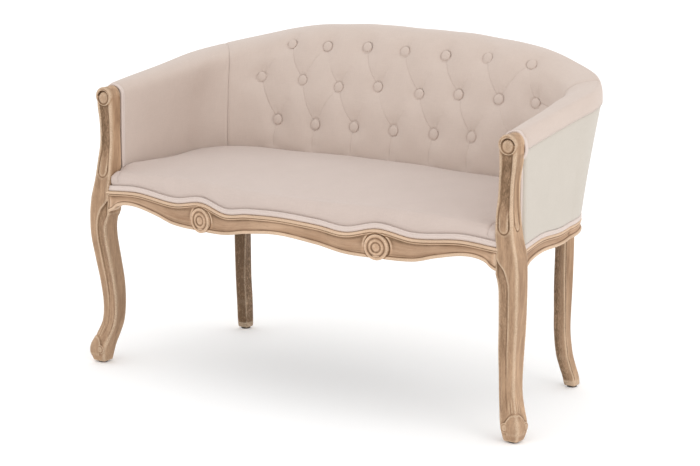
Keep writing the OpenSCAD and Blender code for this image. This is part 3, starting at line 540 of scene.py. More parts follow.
# Cloth: the weave at a count of threads to the metre, with a soft sheen
def clothMaterial(name, light, dark, thread=900.0, coords="UV", bump=0.35, sheen=0.25):
    material, tree, shader = newMaterial(name)
    values = {"Vector": coordinate(tree, coords), "Thread": thread, "Light": light, "Dark": dark}
    useGroup(tree, shader, "weave", values, (bump, 0.0004))
    fill(tree, shader, {"Sheen Weight": sheen, "Sheen Roughness": 0.5, "Specular IOR Level": 0.2})
    return material


# Steel and plastic: one noise varies the colour and the gloss, and on plastic the height too
def hardMaterial(name, noise, dark, light, gloss, metallic, isRaised):
    material, tree, shader = newMaterial(name)
    grain = noiseAt(tree, coordinate(tree), *noise)
    dress(tree, shader, mixColour(tree, grain, dark, light), ranged(tree, grain, 0.3, 0.7, *gloss),
          grain if isRaised else None, (0.3, 0.0002))
    fill(tree, shader, {"Metallic": metallic})
    return material


# The seat, back and outside copies are one linen, each tinted and scaled apart for the light that falls on its part:
# painted light and shade
linen = {
    "seatLinen": ((0.58, 0.48, 0.431, 1), (0.495, 0.406, 0.361, 1)),
    "backLinen": ((0.595, 0.493, 0.433, 1), (0.505, 0.413, 0.358, 1)),
    "outsideLinen": ((0.555, 0.505, 0.443, 1), (0.478, 0.433, 0.376, 1)),
    "weltLinen": ((0.66, 0.56, 0.51, 1), (0.56, 0.47, 0.422, 1), 1100.0),
    "jute": ((0.42, 0.30, 0.17, 1), (0.26, 0.18, 0.10, 1), 420.0, "Object", 0.6, 0.1),
    "foam": ((0.86, 0.80, 0.66, 1), (0.76, 0.69, 0.55, 1), 300.0, "Object", 0.5, 0.1),
    "dustCloth": ((0.060, 0.060, 0.062, 1), (0.028, 0.028, 0.030, 1), 1300.0, "Object", 0.4, 0.3),
}
materials = {
    # The rails' UV map turns U, V into X, Z; the inner pieces swap X and Z
    "railWood": woodMaterial("railWood", "UV", {0: 0, 2: 1}, "light", "dark"),
    "legWood": woodMaterial("legWood", "Object", None, "legLight", "legDark"),
    "innerWood": woodMaterial("innerWood", "Object", {0: 2, 1: 1, 2: 0}, "innerLight", "innerDark", False, 0.3),
    **{name: clothMaterial(name, *values) for name, values in linen.items()},
    "steel": hardMaterial("screwSteel", (400, 4, 0.7), (0.52, 0.50, 0.47, 1), (0.72, 0.71, 0.69, 1), (0.28, 0.5),
                          1.0, False),
    "plastic": hardMaterial("glidePlastic", (1500, 3, 0.6), (0.020, 0.018, 0.016, 1), (0.055, 0.050, 0.045, 1),
                            (0.42, 0.6), 0.0, True),
}
print("stage: materials")


# Moulded section of a rail: beads of circular arcs, a cove of half a sine between them.
# Depth runs in from the face, height between the lower and upper edge.
def railSection(low, top):
    low, top = np.asarray(low, float)[:, None], np.asarray(top, float)[:, None]
    crown, middle, foot = (np.radians(np.linspace(*arc)) for arc in ((-20, 142, 14), (30, 150, 9), (35, 172, 14)))
    s = np.linspace(0, 1, 20)
    ledge, thick, lip = shell["ledge"] + 0 * low, shell["railThick"], shell["lip"]
    parts = [
        (3.2 - 3.2 * np.sin(crown), top - 3.2 + 3.2 * np.cos(crown)),
        ([2.9, 3.0], top - [6.1, 6.7]),
        (3.0 - 1.7 * np.sin(middle), top - 8.4 + 1.6 * np.cos(middle)),
        (3.1 + 1.5 * np.sin(np.pi * s) ** 0.8, mixTo(top - 10.6, low + 9.2, s)),
        ([3.5, 3.5], low + [8.7, 8.2]),
        (3.0 - 4.0 * np.sin(foot), low + 3.9 + 3.9 * np.cos(foot)),
        (np.linspace(4.5, thick - 2, 9), low),
        ([thick - 0.5, thick, thick, thick - 0.6], mixTo(low + 0.6, ledge - 0.4, np.array([0.0, 0.1, 0.9, 1.0]))),
        (np.linspace(thick - 1, lip, 5), ledge),
        ([lip, lip, lip], mixTo(ledge + 1, top - 1, np.array([0.0, 0.5, 1.0]))),
        ([lip - 1, lip - 3], top),
    ]
    depths, heights = zip(*(np.broadcast_arrays(depth, height) for depth, height in parts))
    return np.concatenate(depths, axis=1), np.concatenate(heights, axis=1)


rosetteSet = {"x": 230.0, "drop": 18.0, "radius": 27.5, "rise": 2.4, "relief": 0.72, "turns": 96}


# Front rail: the section swept along the serpentine, with a groove and an arched bead
# round each rosette as Gaussians of the distance from its rim. Its ends rise and sink into the legs.
def frontRail():
    end = shell["jointX"] + 6.0
    x = np.linspace(-end, end, 620)
    past = np.abs(x) - shell["jointX"]
    low = shell["ledge"] + frontRun("frontLow", x)
    depth, height = railSection(low + 8.0 * ease((past + 16) / 22), frontTop(x))
    depth = depth + 5.0 * ease((past + 2) / 7)[:, None] * (depth < 8) * (1 - ease((height - 390) / 6))
    centreZ = shell["ledge"] - rosetteSet["drop"]
    face = depth < 8
    for side in (-1, 1):
        away = np.hypot(x[:, None] - side * rosetteSet["x"], height - centreZ) - rosetteSet["radius"]
        bead = 1.5 * bell(away - 4.6, 1.7) * ease((height - centreZ + 6) / 12)
        depth = depth + face * (1.4 * bell(away - 1.2, 1.3) - bead)
    return np.stack([x[:, None] + 0 * depth, frontY(x)[:, None] + depth, height], axis=2)


# Turned disc facing the viewer: rings and boss from rows of a share of the radius and a rise
def rosetteGrid(side):
    rows = [(0.0, 0.6), (0.10, 0.55), (0.20, 0.1), (0.27, -0.8), (0.31, -2.0), (0.36, -2.3), (0.42, -1.6),
            (0.46, -0.3), (0.51, 0.0), (0.56, -0.3), (0.60, -1.6), (0.65, -2.7), (0.71, -2.8), (0.76, -1.8),
            (0.80, -0.5), (0.86, 0.1), (0.92, -0.2), (0.97, -1.2), (1.0, -3.0), (1.0, -8.0), (0.99, -16.0)]
    shape = smoothRows([(share, rise * (rosetteSet["relief"] if rise > -5 else 1)) for share, rise in rows], 61)
    shape = shape * [rosetteSet["radius"], 1] + [0, rosetteSet["rise"]]
    shape[0, 0] = 0.05
    x0 = side * rosetteSet["x"]
    slope = float(frontY(x0 + 20) - frontY(x0 - 20)) / 40
    across, out = (np.array(v) / math.hypot(1, slope) for v in ((1.0, slope, 0.0), (slope, -1.0, 0.0)))
    centre = (x0, float(frontY(x0)), shell["ledge"] - rosetteSet["drop"])
    return turned(shape, centre, out, across, (0, 0, 1), rosetteSet["turns"])


# Piece of show-wood, its relief measured for the glaze
def woodPiece(piece, node, finish):
    setRelief(piece.data)
    standFor(piece, node, finish)


woodPiece(tubeObject("frontRail", frontRail(), rosetteGrid(-1), rosetteGrid(1)), "front_rail", "railWood")


# The same section along the shell, between two places
def ringRail(start, end, count):
    w = np.linspace(start, end, count)
    depth, height = railSection(shell["ledge"] + flow(railLines["ringLow"], 1 - np.abs(w)), ringTop(w))
    return layerAt(w[:, None] + 0 * depth, depth, height)


# Places where the rear leg takes the rail over, with a gap at each joint
ends = {"front": 0.475, "rear": 0.405, "gap": 0.0004}
sides = ((-1, "left"), (1, "right"))
for side, label in sides:
    grid = ringRail(side * (1 - ends["gap"]), side * (ends["front"] + ends["gap"]), 230)
    woodPiece(tubeObject(label + "SideRail", grid), label + "_side_rail", "railWood")
reach = ends["rear"] - ends["gap"]
woodPiece(tubeObject("backRail", ringRail(-reach, reach, 420)), "back_rail", "railWood")
print("stage: rails")

rearLegSet = {
    "x": 435.0, "y": 395.0, "round": 12.0, "columns": 240, "rows": 170, "glide": 4.0, "top": 386.0, "quirk": 5.6,
    # Rows of height, way out, way back, width and turn in degrees
    "course": [[4, 14, 25, 27, 0], [25, 12, 21, 28, 0], [46, 8, 15, 28.4, 0], [78, 3, 7, 28.8, 0],
               [130, 0.5, 0, 28.6, 0], [180, 0.8, -1, 29.4, 4], [240, 1.4, -1, 31, 11.5], [310, 2.2, 0, 31, 16.5],
               [394, 2.4, 0, 31, 17]],
}


# Square section with rounded corners: r = (|cos|^n + |sin|^n)^(-1/n) of the half width
def rearLegGrid(side):
    spec = rearLegSet
    z = np.linspace(spec["glide"], spec["top"], spec["rows"])
    c = flow(spec["course"], z)
    a = np.linspace(0, 2 * np.pi, spec["columns"], endpoint=False) + 0.02
    n = spec["round"]
    reach = (np.abs(np.cos(a)) ** n + np.abs(np.sin(a)) ** n) ** (-1 / n)
    foot = 1.2 * np.exp(-((z[:, None] - spec["glide"]) / 2.2))
    half = c[:, 2:3] / 2 - foot
    unitX, unitY = reach[None] * np.cos(a)[None], reach[None] * np.sin(a)[None]
    # Rounded bead on the outer front arris, with a quirk behind it
    quirk = bell((unitY + 1) * half - spec["quirk"], 1.0) * (unitX > 0.8)
    sunk = 1.9 * quirk * ease((z[:, None] - 14) / 8)
    across, along, turn = unitX * half - sunk, unitY * half, np.radians(c[:, 3:4])
    x = spec["x"] + c[:, 0:1] + across * np.cos(turn) + along * np.sin(turn)
    y = spec["y"] + c[:, 1:2] - across * np.sin(turn) + along * np.cos(turn)
    return np.stack([side * x, y, z[:, None] + 0 * x], axis=2)


# Painted shade on the faces that look forward, inward and back, below the rails, heaviest on the left leg, with glaze
# in the quirk behind the bead
def rearStain(mesh):
    spec, p, n = rearLegSet, naturalPlaces(mesh), rowsOf(mesh.vertex_normals, "vector")
    side, z = np.sign(p[:, 0]), p[:, 2]
    c = flow(spec["course"], np.clip(z, spec["glide"], spec["top"]))
    turn = np.radians(c[:, 3])
    dx, dy = np.abs(p[:, 0]) - spec["x"] - c[:, 0], p[:, 1] - spec["y"] - c[:, 1]
    across, along = dx * np.cos(turn) - dy * np.sin(turn), dx * np.sin(turn) + dy * np.cos(turn)
    # Painted shade: forward faces darker on their inner half, and much darker on the left leg
    front = mixTo(0.30, 1.2, ease((0.35 - across / c[:, 2]) / 0.8)) + 1.5 * (side < 0)
    quirk = bell(along + c[:, 2] / 2 - spec["quirk"], 1.3) * (n[:, 0] * side > 0.2) * (z > 20)
    inward, forward, rearward = (np.clip(v, 0, 1) for v in (-n[:, 0] * side, -n[:, 1], n[:, 1]))
    # The facing terms are painted shade; the quirk term is glaze in the groove
    glazeAndShade = 0.1 + 1.4 * inward ** 2 + front * forward ** 2 + 0.3 * rearward + 0.9 * quirk
    storeValue(mesh, "glazeAndShade", np.clip(glazeAndShade, 0, 2.3) * (z < 384))


# Stile that carries the leg on into the back: a box through the frame's layers, up to its top
def stileGrid(side):
    place, half = 0.44, 0.015
    z = np.linspace(shell["ledge"] - 12, float(frameTopAt(place)), 24)
    corners = [(-half, "frameIn"), (-half, "frameOut"), (half, "frameOut"), (half, "frameIn")]
    return np.stack([layerAt(side * (place + w), shell[layer], z) for w, layer in corners], axis=1)


for side, label in sides:
    joint = ringRail(side * (ends["front"] - ends["gap"]), side * (ends["rear"] + ends["gap"]), 60)
    piece = tubeObject(label + "RearLeg", rearLegGrid(side), stileGrid(side), joint)
    rearStain(piece.data)
    woodPiece(piece, "rear_" + label + "_leg", "legWood")
print("stage: rear legs")

frontLegSet = {
    "rows": 640, "columns": 288, "round": 8.0, "voxel": 0.0011, "joint": 505.15, "low": 4, "high": 618,
    "channel": 0.76, "lobe": 453.0, "lobeWide": (11.5, 8.0), "hollow": 15.6, "hollowDrop": 27.1, "hollowDeep": 12.0,
    "leafTop": 62, "leafFall": 17, "veins": (0, 15, 29),
    # Heights between which the inner side meets the rail, and the fillet below and the fade above them
    "knee": 352, "fillet": 40, "shoulder": 405, "fade": 25,
    # Rows of height, way out, way forward, width and depth
    "course": [
        [4, 23, 12.65, 33, 33], [22, 24, 13.1, 41.5, 41.5], [42, 21, 11, 44.5, 44.5], [66, 12.65, 3, 41.5, 41.5],
        [96, 4.6, -5, 39, 39], [140, 2, -8, 39.5, 39.5], [190, 4, -5, 42.5, 42.5], [240, 9, 1, 44.5, 44.5],
        [300, 14, 9, 46, 46], [350, 13.8, 10, 47.6, 46], [380, 11.2, 8.2, 47.4, 48], [394, 9.6, 7, 46, 49],
        [430, 2, 6, 43, 47], [474, -2, 4, 38.5, 42], [509, -3, 1, 35, 36], [540, -2.6, 0, 35, 34.5],
        [568, -1, -1.6, 37.5, 36], [590, 0.4, -1.4, 40.5, 37.5], [613, 1, -1.2, 41.8, 39], [620, 1, -1.2, 42, 39],
    ],
}


# Near edge of the front channel by height: level, and run out over the face at the knee
def nearEdge(z):
    return -frontLegSet["channel"] - 0.5 * between(z, 318, 44, 386, 8)


# Carving on the two outer faces, by height z and by the place f across a face, from -1 at its far
# edge to 1 at the outer arris: how far a channel is sunk, and how much glaze lies in it
def carveFront(f, z):
    post, leg = between(z, 440, 14, 606, 4), between(z, 112, 60, 390, 9)
    near = nearEdge(z)
    legFar = np.interp(z, (318, 334, 348, 362, 382, 396), (0.12, 0.08, -0.05, -0.24, -0.86, -1.3))
    high = ease((z - 415) / 10)
    far = mixTo(legFar, frontLegSet["channel"], high)
    mask = ease((f - near) / 0.20) * ease((far - f) / 0.17)
    joint = 2.6 * between(z, 335, 20, 384, 6) * ease((0.15 - f) / 1.1)
    depth = mask * (post * 3.4 + leg * (2.4 - 0.9 * ease((240 - z) / 90)) * (1 - high) + joint)
    # Narrow grooves that carry the channel's edges down to the foot
    low = between(z, 58, 14, 345, 8)
    line = bell(f - near - 0.02, 0.07) * low
    inner = 0.6 * bell(f + 0.02, 0.07) * low * (1 - ease((z - 150) / 30))
    side = 0.8 + 0.35 * ease((f - 0.05) / 0.4)
    onPost = post * side * (0.50 + 0.45 * ease((z - 475) / 50))
    glazeAndShade = mask * (onPost + leg * ease((z - 150) / 60) * 0.40 * (1 - high))
    return depth + 0.8 * line + inner, np.clip(np.maximum(glazeAndShade, 0.55 * line), 0, 1)


# The side's one channel, along the post: two eased edges times a window in height
def carveSide(f, z):
    mask = ease((f + 0.74) / 0.2) * ease((0.72 - f) / 0.17)
    post = between(z, 446, 14, 556, 50)
    return mask * post * 1.8, mask * (post * 0.10 + 0.42 * ease((z - 520) / 50))


# Lobe at the foot of a channel: it fills the channel's floor inside an arch and is outlined by a groove
def lobeAt(u, z, half):
    low = frontLegSet["lobe"]
    q = np.hypot(u / half, np.minimum(z - low, 0) / (half * 1.35))
    fill = (1 - ease((q - 0.82) / 0.18)) * (1 - ease((z - low - 14) / 34))
    return fill, bell(q - 1.10, 0.11) * (1 - ease((z - low - 4) / 10)) * (q < 1.6)


# Rounded square ring less the carving
def frontLegGrid():
    spec = frontLegSet
    z = np.linspace(spec["high"], spec["low"], spec["rows"])[:, None]
    c = flow(spec["course"], z[:, 0])
    turn = np.linspace(-180, 180, spec["columns"], endpoint=False)
    way = np.radians(turn - 45)[None]
    n = spec["round"]
    hx, hy = c[:, 2:3] / 2, c[:, 3:4] / 2
    r = (np.abs(np.cos(way) / hx) ** n + np.abs(np.sin(way) / hy) ** n) ** (-1 / n)
    size = np.abs(turn)[None]
    f = np.tan(np.radians(45 - np.clip(size, 0, 90)))
    isFace, isFront = (size <= 90), (turn < 0)[None]
    front, side = carveFront(f, z)[0], carveSide(f, z)[0]
    foot = 1 - ease((z - 448) / 26)
    fillFront, grooveFront = lobeAt(f * hx, z, spec["lobeWide"][0])
    fillSide, grooveSide = lobeAt(f * hy, z, spec["lobeWide"][1])
    front = front * (1 - 0.75 * fillFront) + 1.5 * grooveFront - 1.6 * fillFront * foot
    side = side * (1 - 0.75 * fillSide) + 1.1 * grooveSide - 0.8 * fillSide * foot
    # Hollow of the volute's ring, cut on down into the head of the post
    fromAxis = np.hypot(f * hx + c[:, 0:1] - 2.3, z - shell["armTop"] + spec["hollowDrop"])
    hollow = 1 - ease((fromAxis - spec["hollow"]) / 1.4)
    front = np.maximum(front, spec["hollowDeep"] * hollow * (z > 596))
    depth = np.where(isFront, front, side) * isFace
    # Bead beside each channel and ridge on the arris between them
    live = between(z, 110, 50, 596, 8)
    bead = bell(f - np.where(isFront, nearEdge(z), -spec["channel"]) + 0.12, 0.08) * isFace * live
    bead = bead * (1 - between(z, 357, 8, 408, 10) * isFront)
    r = r - depth + 0.7 * bead + 0.7 * bell(size, 5.0) * live
    # Leaf over the toe: an arched step, and a centre ridge that fades up the shin
    arch = spec["leafTop"] - spec["leafFall"] * (size / 60) ** 2
    leaf = ease((arch - z) / 2.4) * (size < 62) * ease((z - 12) / 10)
    rim = bell(arch - 1.6 - z, 1.7) * (size < 60)
    veins = sum(bell(size - k, 3.4) for k in spec["veins"]) * between(z - arch, 1, 4, 18, 20)
    r = r + 1.6 * leaf + 0.9 * rim + 1.1 * veins
    dx, dy = r * np.cos(way), r * np.sin(way)
    x, y = shell["postX"] + c[:, 0:1] + dx, shell["postY"] - c[:, 1:2] + dy
    # Inner side carried to the rail's end, with a fillet into the knee below it
    edge = shell["postX"] + c[:, 0:1] - hx
    down = np.clip((spec["knee"] - z) / spec["fillet"], 0, 1)
    below = mixTo(spec["joint"], edge, 1 - (1 - down) ** 2.2)
    above = mixTo(spec["joint"], edge, ease((z - spec["shoulder"]) / spec["fade"]))
    target = np.where(z > spec["knee"], above, below)
    x = x + (np.minimum(target, edge) - edge) * np.clip(-dx / hx, 0, 1)
    return np.stack([x, y, z + 0 * x], axis=2)


# Glaze worked into the channels, read back from a finished leg by its own places; the inner face below 350 mm is kept
# at 0.22 or more, and painted shade darkens the faces that look forward
def legStain(mesh):
    p = naturalPlaces(mesh)
    z = p[:, 2]
    c = flow(frontLegSet["course"], np.clip(z, 4, 620))
    fx = (np.abs(p[:, 0]) - shell["postX"] - c[:, 0]) / (c[:, 2] / 2)
    fy = (p[:, 1] - shell["postY"] + c[:, 1]) / (c[:, 3] / 2)
    isFront = -fy > np.abs(fx) * 0.72
    isSide = (fx > np.abs(fy) * 0.72) & ~isFront
    wideFront, wideSide = frontLegSet["lobeWide"]
    front = carveFront(fx, z)[1] * (1 - 0.8 * lobeAt(fx * c[:, 2] / 2, z, wideFront)[0])
    side = carveSide(-fy, z)[1] * (1 - 0.8 * lobeAt(fy * c[:, 3] / 2, z, wideSide)[0])
    below = 0.30 * between(z, 400, 20, 436, 8) * (fx > 0.1) * (fx < 0.75)
    glazeAndShade = np.where(isFront, np.maximum(front, below), np.where(isSide, side, 0.0)) * (z < 598)
    inner = (fx < -0.86) & (z < 350)
    # Painted shade on the faces that look forward
    facing = 0.26 * ease((-fy - np.abs(fx)) / 0.5 + 0.5)
    storeValue(mesh, "glazeAndShade", np.where(inner, np.maximum(glazeAndShade, 0.22), glazeAndShade) + facing)


faceForward = ((0, -1, 0), (1, 0, 0), (0, 0, 1))
voluteSet = {
    "drop": 24.5, "out": 1.0, "bossDrop": 4.2,
    "ring": [(0.05, 0), (18.5, 0), (20.5, 0.6), (21.0, 2), (21.1, 5), (20.9, 8), (20.7, 12), (20.6, 18), (20.7, 24),
             (21.0, 29), (21.2, 33), (20.9, 36), (20.1, 37.6), (19.2, 38.2), (18.5, 37.4), (18.0, 36.4), (17.7, 37.2),
             (17.2, 37.9), (16.6, 37.4), (16.2, 35.0), (16.0, 31.0), (15.2, 28.6), (9.0, 30.2), (0.05, 30.2)],
    "boss": [(0.05, 22), (12.4, 22), (13.6, 27), (14.1, 30.2), (13.8, 32.4), (12.7, 34.0), (10.4, 35.6), (6.7, 36.6),
             (2.9, 37.1), (0.05, 37.2)],
}


# Volute at the head of the post, from the back to the boss on its face
def voluteGrids():
    x, y, high = shell["postX"] + voluteSet["out"], shell["postBack"], shell["armTop"] - voluteSet["drop"]
    ring = turned(smoothRows(voluteSet["ring"], 170) * [1, 0.97], (0, 0, 0), *faceForward)
    # The ring's hollow sits low and outward of the drum's middle, the boss low and inward in it
    inside = (1 - ease((np.hypot(ring[..., 0], ring[..., 2]) - 16.6) / 3.6)) * (ring[..., 1] < -20)
    ring = ring + inside[..., None] * np.array([1.3, 0.0, -2.6]) + np.array([x, y, high])
    return ring, turned(smoothRows(voluteSet["boss"], 60), (x, y, high - voluteSet["bossDrop"]), *faceForward)


# Scrolls on the foot: a ring round an eye, on the front and on the side
def footScrolls():
    z = 33.0
    c = flow(frontLegSet["course"], z)
    x, y = shell["postX"] + c[0], shell["postY"] - c[1]
    rows = smoothRows([(0.05, -12), (10.2, -12), (10.4, -0.6), (10.1, 0.8), (9.4, 1.3), (8.7, 0.5), (8.2, -1.2),
                       (7.7, -1.4), (7.2, 0.4), (6.3, 1.7), (4.2, 2.2), (2.0, 2.4), (0.05, 2.4)], 60)
    return (turned(rows, (x - 9, y - c[3] / 2, z), *faceForward, 64),
            turned(rows, (x + c[2] / 2, y + 9, z), (1, 0, 0), (0, 1, 0), (0, 0, 1), 64))


# Block behind the knee that the rails meet, drawn in to nothing below them
def jointBlock():
    rows = [(322, 20.0), (334, 9.0), (346, 3.0), (356, 0.4), (366, 0.0), (397.6, 0.0)]
    left, right, front, back = 505.4, 540.0, -12.0, 27.6
    return np.array([[[left + q, front, z], [right, front, z], [right, back - q, z], [left + q, back - q, z]]
                     for z, q in rows])


# Union of a form's shells by voxel remesh, its steps eased by two smoothing rounds
def fuse(obj, voxel):
    remesh = obj.modifiers.new("fuse", "REMESH")
    remesh.mode = "VOXEL"
    remesh.voxel_size = voxel
    soften = obj.modifiers.new("ease", "SMOOTH")
    soften.factor = 0.5
    soften.iterations = 2
    graph = bpy.context.evaluated_depsgraph_get()
    graph.update()
    mesh = bpy.data.meshes.new_from_object(obj.evaluated_get(graph))
    old = obj.data
    obj.modifiers.clear()
    obj.data = mesh
    bpy.data.meshes.remove(old)
    mesh.polygons.foreach_set("use_smooth", np.ones(len(mesh.polygons), bool))


rightLeg = tubeObject("rightFrontLeg", frontLegGrid(), *voluteGrids(), *footScrolls(), jointBlock())
fuse(rightLeg, frontLegSet["voxel"])
setRelief(rightLeg.data)
legStain(rightLeg.data)
# The left leg is a mirrored copy
leftMesh = rightLeg.data.copy()
leftMesh.vertices.foreach_set("co", (rowsOf(leftMesh.vertices, "co") * [-1, 1, 1]).astype(np.float32).ravel())
leftMesh.flip_normals()
standFor(rightLeg, "front_right_leg", "legWood")
standFor(placed("leftFrontLeg", leftMesh), "front_left_leg", "legWood")
print("stage: front legs", len(leftMesh.polygons))

seatSet = {
    "columns": 300, "rows": 150, "roll": 24.0, "front": 10.3, "sideRise": 56.0, "frontRise": 8.0, "backRise": 19.5,
    "crown": 12.0, "backSwell": 3.4, "turnDown": 12.5, "turnWide": 18.0, "toPost": 5.2, "pleat": 3.4, "pleatWide": 1.5,
    "pleatIn": 15.0, "waves": 0.9, "waveLength": 190.0, "foamIn": 6.0,
    # Line along the arms: share of the way back and millimetres over the plain rise
    "line": ((0, 0.12, 0.3, 0.5, 0.7, 0.85, 1), (0, 2, 8, 13, 8, -3, -9)),
}


# Height of the seat over the ledge, u across from -1 to 1 and v from front to back: the line along
# the arms, a swell at the middle of the back, and a crown of half a sine on a rise towards the back
def seatRise(u, v):
    side = np.interp(v, *seatSet["line"])
    side = side * np.where(side > 0, u ** 6, u ** 4)
    back = seatSet["backSwell"] * (1 - u ** 2) ** 2 * np.clip(v, 0, 1) ** 8
    crown = mixTo(seatSet["frontRise"], seatSet["backRise"], v) + seatSet["crown"] * np.sin(np.pi * v)
    return seatSet["sideRise"] + side + back + (1 - np.abs(u) ** 3) * crown


# Crowned seat: a front that bulges over the welt, the crown, and edges that turn down
# by a quarter round into the crevice of the arms and back
def seatGrid():
    roll, ledge, deck = seatSet["roll"], shell["ledge"], shell["deck"]
    u = np.linspace(-1, 1, seatSet["columns"])
    u = u * (1.35 - 0.35 * u ** 2)
    half = levels["well"][0] - shell["fit"]
    x = u * (half - 1)
    start = np.stack([x, frontY(x) + seatSet["front"]], axis=1)
    edge = planAt("well", np.sign(u) * np.abs(u) ** 1.7)
    way = unitRows(edge - start)
    stop = edge + way * 2.0 - np.stack([np.sign(u) * shell["fit"], 0 * u], axis=1)
    length = np.linalg.norm(stop - start, axis=1)
    lip = frontTop(x) + 2 * shell["cord"] + 3.2
    rise = ledge + seatRise(u, 0.04) - lip

    def at(offset, z):
        return withHeight(start + way * offset[:, None], z)

    rows = [withHeight(stop, deck)]
    rows += [withHeight(mixTo(start, stop, t), deck) for t in np.linspace(0.9, 0.02, 24)]
    rows.append(withHeight(start, deck))
    # Front bulge through the CAD's control points, by the cubic of each four neighbours
    control = np.stack([np.stack(np.broadcast_arrays(offset, height), axis=1) for offset, height in (
        (0.0, lip), (-3.0, lip + 0.3 * rise), (-1.0, lip + 0.65 * rise), (0.4 * roll, lip + 0.92 * rise),
        (roll, ledge + seatRise(u, 0.02)), (mixTo(roll, length, 0.06), ledge + seatRise(u, 0.06)),
    )])
    for t in np.linspace(0, 5, 44)[:-9]:
        k = min(int(t), 4)
        f = t - k
        p0, p1, p2, p3 = (control[min(max(k + d, 0), 5)] for d in (-1, 0, 1, 2))
        p = 0.5 * (2 * p1 + (p2 - p0) * f + (2 * p0 - 5 * p1 + 4 * p2 - p3) * f ** 2
                   + (3 * p1 - p0 - 3 * p2 + p3) * f ** 3)
        rows.append(at(p[:, 0], p[:, 1]))
    top = len(rows)
    rows += [at(mixTo(roll, length, v), ledge + seatRise(u, v)) for v in np.linspace(0.025, 1, seatSet["rows"])]
    grid = np.stack(rows)
    # Turned-down edges: distance to the inner face of the shell
    across = np.minimum(np.abs(grid[..., 0] - x[0]), np.abs(x[-1] - grid[..., 0]))
    behind = np.linalg.norm(grid[..., :2] - stop[None], axis=2)
    gap = np.clip(np.minimum(across, behind) / seatSet["turnWide"], 0, 1)
    turnDown = seatSet["turnDown"] * (1 - np.sqrt(np.clip(1 - (1 - gap) ** 2, 0, 1)))
    # In front of the arms the cover runs on to the posts
    forward = 1 - ease((grid[..., 1] - 6) / 24)
    turnDown *= 1 - 0.75 * forward * (behind > 40)
    grid[..., 0] += np.sign(grid[..., 0]) * seatSet["toPost"] * ease((np.abs(grid[..., 0]) - 468) / 27) * forward
    mask = np.zeros(len(rows))
    mask[top:] = 1
    mask[top - 20:top] = np.linspace(0, 1, 20)
    grid[..., 2] -= turnDown * mask[:, None]
    # Corner pleats of the front, a narrow valley that runs out over the edge
    lean = (grid[..., 2] - 425) * 0.16
    pleatX = np.abs(grid[..., 0]) - (half - seatSet["pleatIn"]) - lean
    pleat = seatSet["pleat"] * bell(pleatX, seatSet["pleatWide"])
    pleat += 1.2 * bell(np.maximum(-pleatX, 0), 7) * (pleatX < 0)
    pleat = pleat * ease((grid[..., 2] - lip[None] - 2) / 8)
    near = np.clip(1 - (grid[..., 1] - start[None, :, 1]) / 46.0, 0, 1)
    normals = gridNormals(grid)
    upward = np.sign(normals[top + 40:, :, 2].mean())
    waves = seatSet["waves"] * slowWaves(3, grid[..., 0], grid[..., 1], seatSet["waveLength"]) * mask[:, None]
    return grid + normals * upward * (waves - pleat * ease(near))[..., None]


# Foam: the cover's form drawn in by a depth all round, as in the CAD
def foamGrid():
    grid, depth = seatGrid()[::3, ::3], seatSet["foamIn"]
    low, high = grid[..., 1].min(), grid[..., 1].max()
    middle, reach = (low + high) / 2, (high - low) / 2
    grid[..., 0] *= 1 - depth / levels["well"][0]
    grid[..., 1] = middle + (grid[..., 1] - middle) * (1 - depth / reach)
    grid[..., 2] = shell["deck"] + 1 + (grid[..., 2] - shell["deck"]) * (1 - depth / seatSet["sideRise"])
    return grid


seat = tubeObject("seatCover", seatGrid(), isAcross=True)
standFor(seat, "seat_cover", "seatLinen")
standFor(tubeObject("seatFoam", foamGrid(), isAcross=True), "seat_foam", "foam")
print("stage: seat", len(seat.data.polygons))


# Rounded top edge: from the brow over the ridge to the outer seam, its outer quarter squared
def rollRows(w, steps, power=0.67):
    brow, seam, top = browAt(w), seamAt(w), topAt(w)
    browPlan, ridge, seamPlan = innerAt(w, brow), planAt("ridge", w), outerAt(w, seam)
    # Inner quarter: a Bezier that leaves along the face and arrives level on the ridge
    p0, p3 = withHeight(browPlan, brow), withHeight(ridge, top)
    slope = unitRows(p0 - withHeight(innerAt(w, brow - 6), brow - 6))
    p1 = p0 + slope * (0.62 * (top - brow))[:, None]
    p2 = p3 + 0.56 * withHeight(browPlan - ridge, 0 * brow)
    shares = [i / steps for i in range(1, steps + 1)]
    rows = [(1 - t) ** 3 * p0 + 3 * t * (1 - t) ** 2 * p1 + 3 * t ** 2 * (1 - t) * p2 + t ** 3 * p3 for t in shares]
    for a in [math.pi / 2 * t for t in shares]:
        plan = ridge + (seamPlan - ridge) * math.sin(a) ** power
        rows.append(withHeight(plan, mixTo(seam, top, max(math.cos(a), 0) ** power)))
    return rows


# Rows of a grid blurred along their running length by a Gaussian, widest at the brow and nil at the ridge
def easedRows(grid, browRow, ridgeRow, peak, below):
    s = running(stepLengths(grid, 0))
    brow, ridge = s[browRow], s[ridgeRow]
    width = peak * between(s, brow - below, 0.8 * below, mixTo(brow, ridge, 0.3), 0.68 * (ridge - brow))
    weight = np.exp(-((s[:, None] - s[None]) / np.maximum(width, 0.4)[:, None]) ** 2 / 2) * np.gradient(s)[None]
    return np.einsum("ij,jkl->ikl", weight / weight.sum(axis=1, keepdims=True), grid)


# Heights of a pad's face, from the deck to the brow
def faceHeights(wTop, spec):
    return mixTo(shell["deck"], browAt(wTop)[None], np.linspace(0, 1, spec["faceRows"])[:, None])


# Face of a pad and its rolled edge, blurred over the brow
def paddedFace(w, z, wTop, spec):
    face = withHeight(innerHeld(w, z), z)
    last = spec["faceRows"] - 1
    grid = np.concatenate([face, np.stack(rollRows(wTop, spec["rollRows"]))])
    return easedRows(grid, last, last + spec["rollRows"], spec["blur"], spec["blurBelow"]), face


# Back of a pad: down the frame from the outer seam, then down the webbing to the deck
def coreRows(w):
    high, seam, deck = frameTopAt(w), seamAt(w), shell["deck"] + 0 * w
    rows = [layerAt(w, shell["frameOut"] - shell["fit"], mixTo(seam, high, t)) for t in (0, 0.5, 1)]
    return rows + [layerAt(w, shell["padBack"], mixTo(high, deck, t)) for t in (0, 0.3, 0.6, 1)]


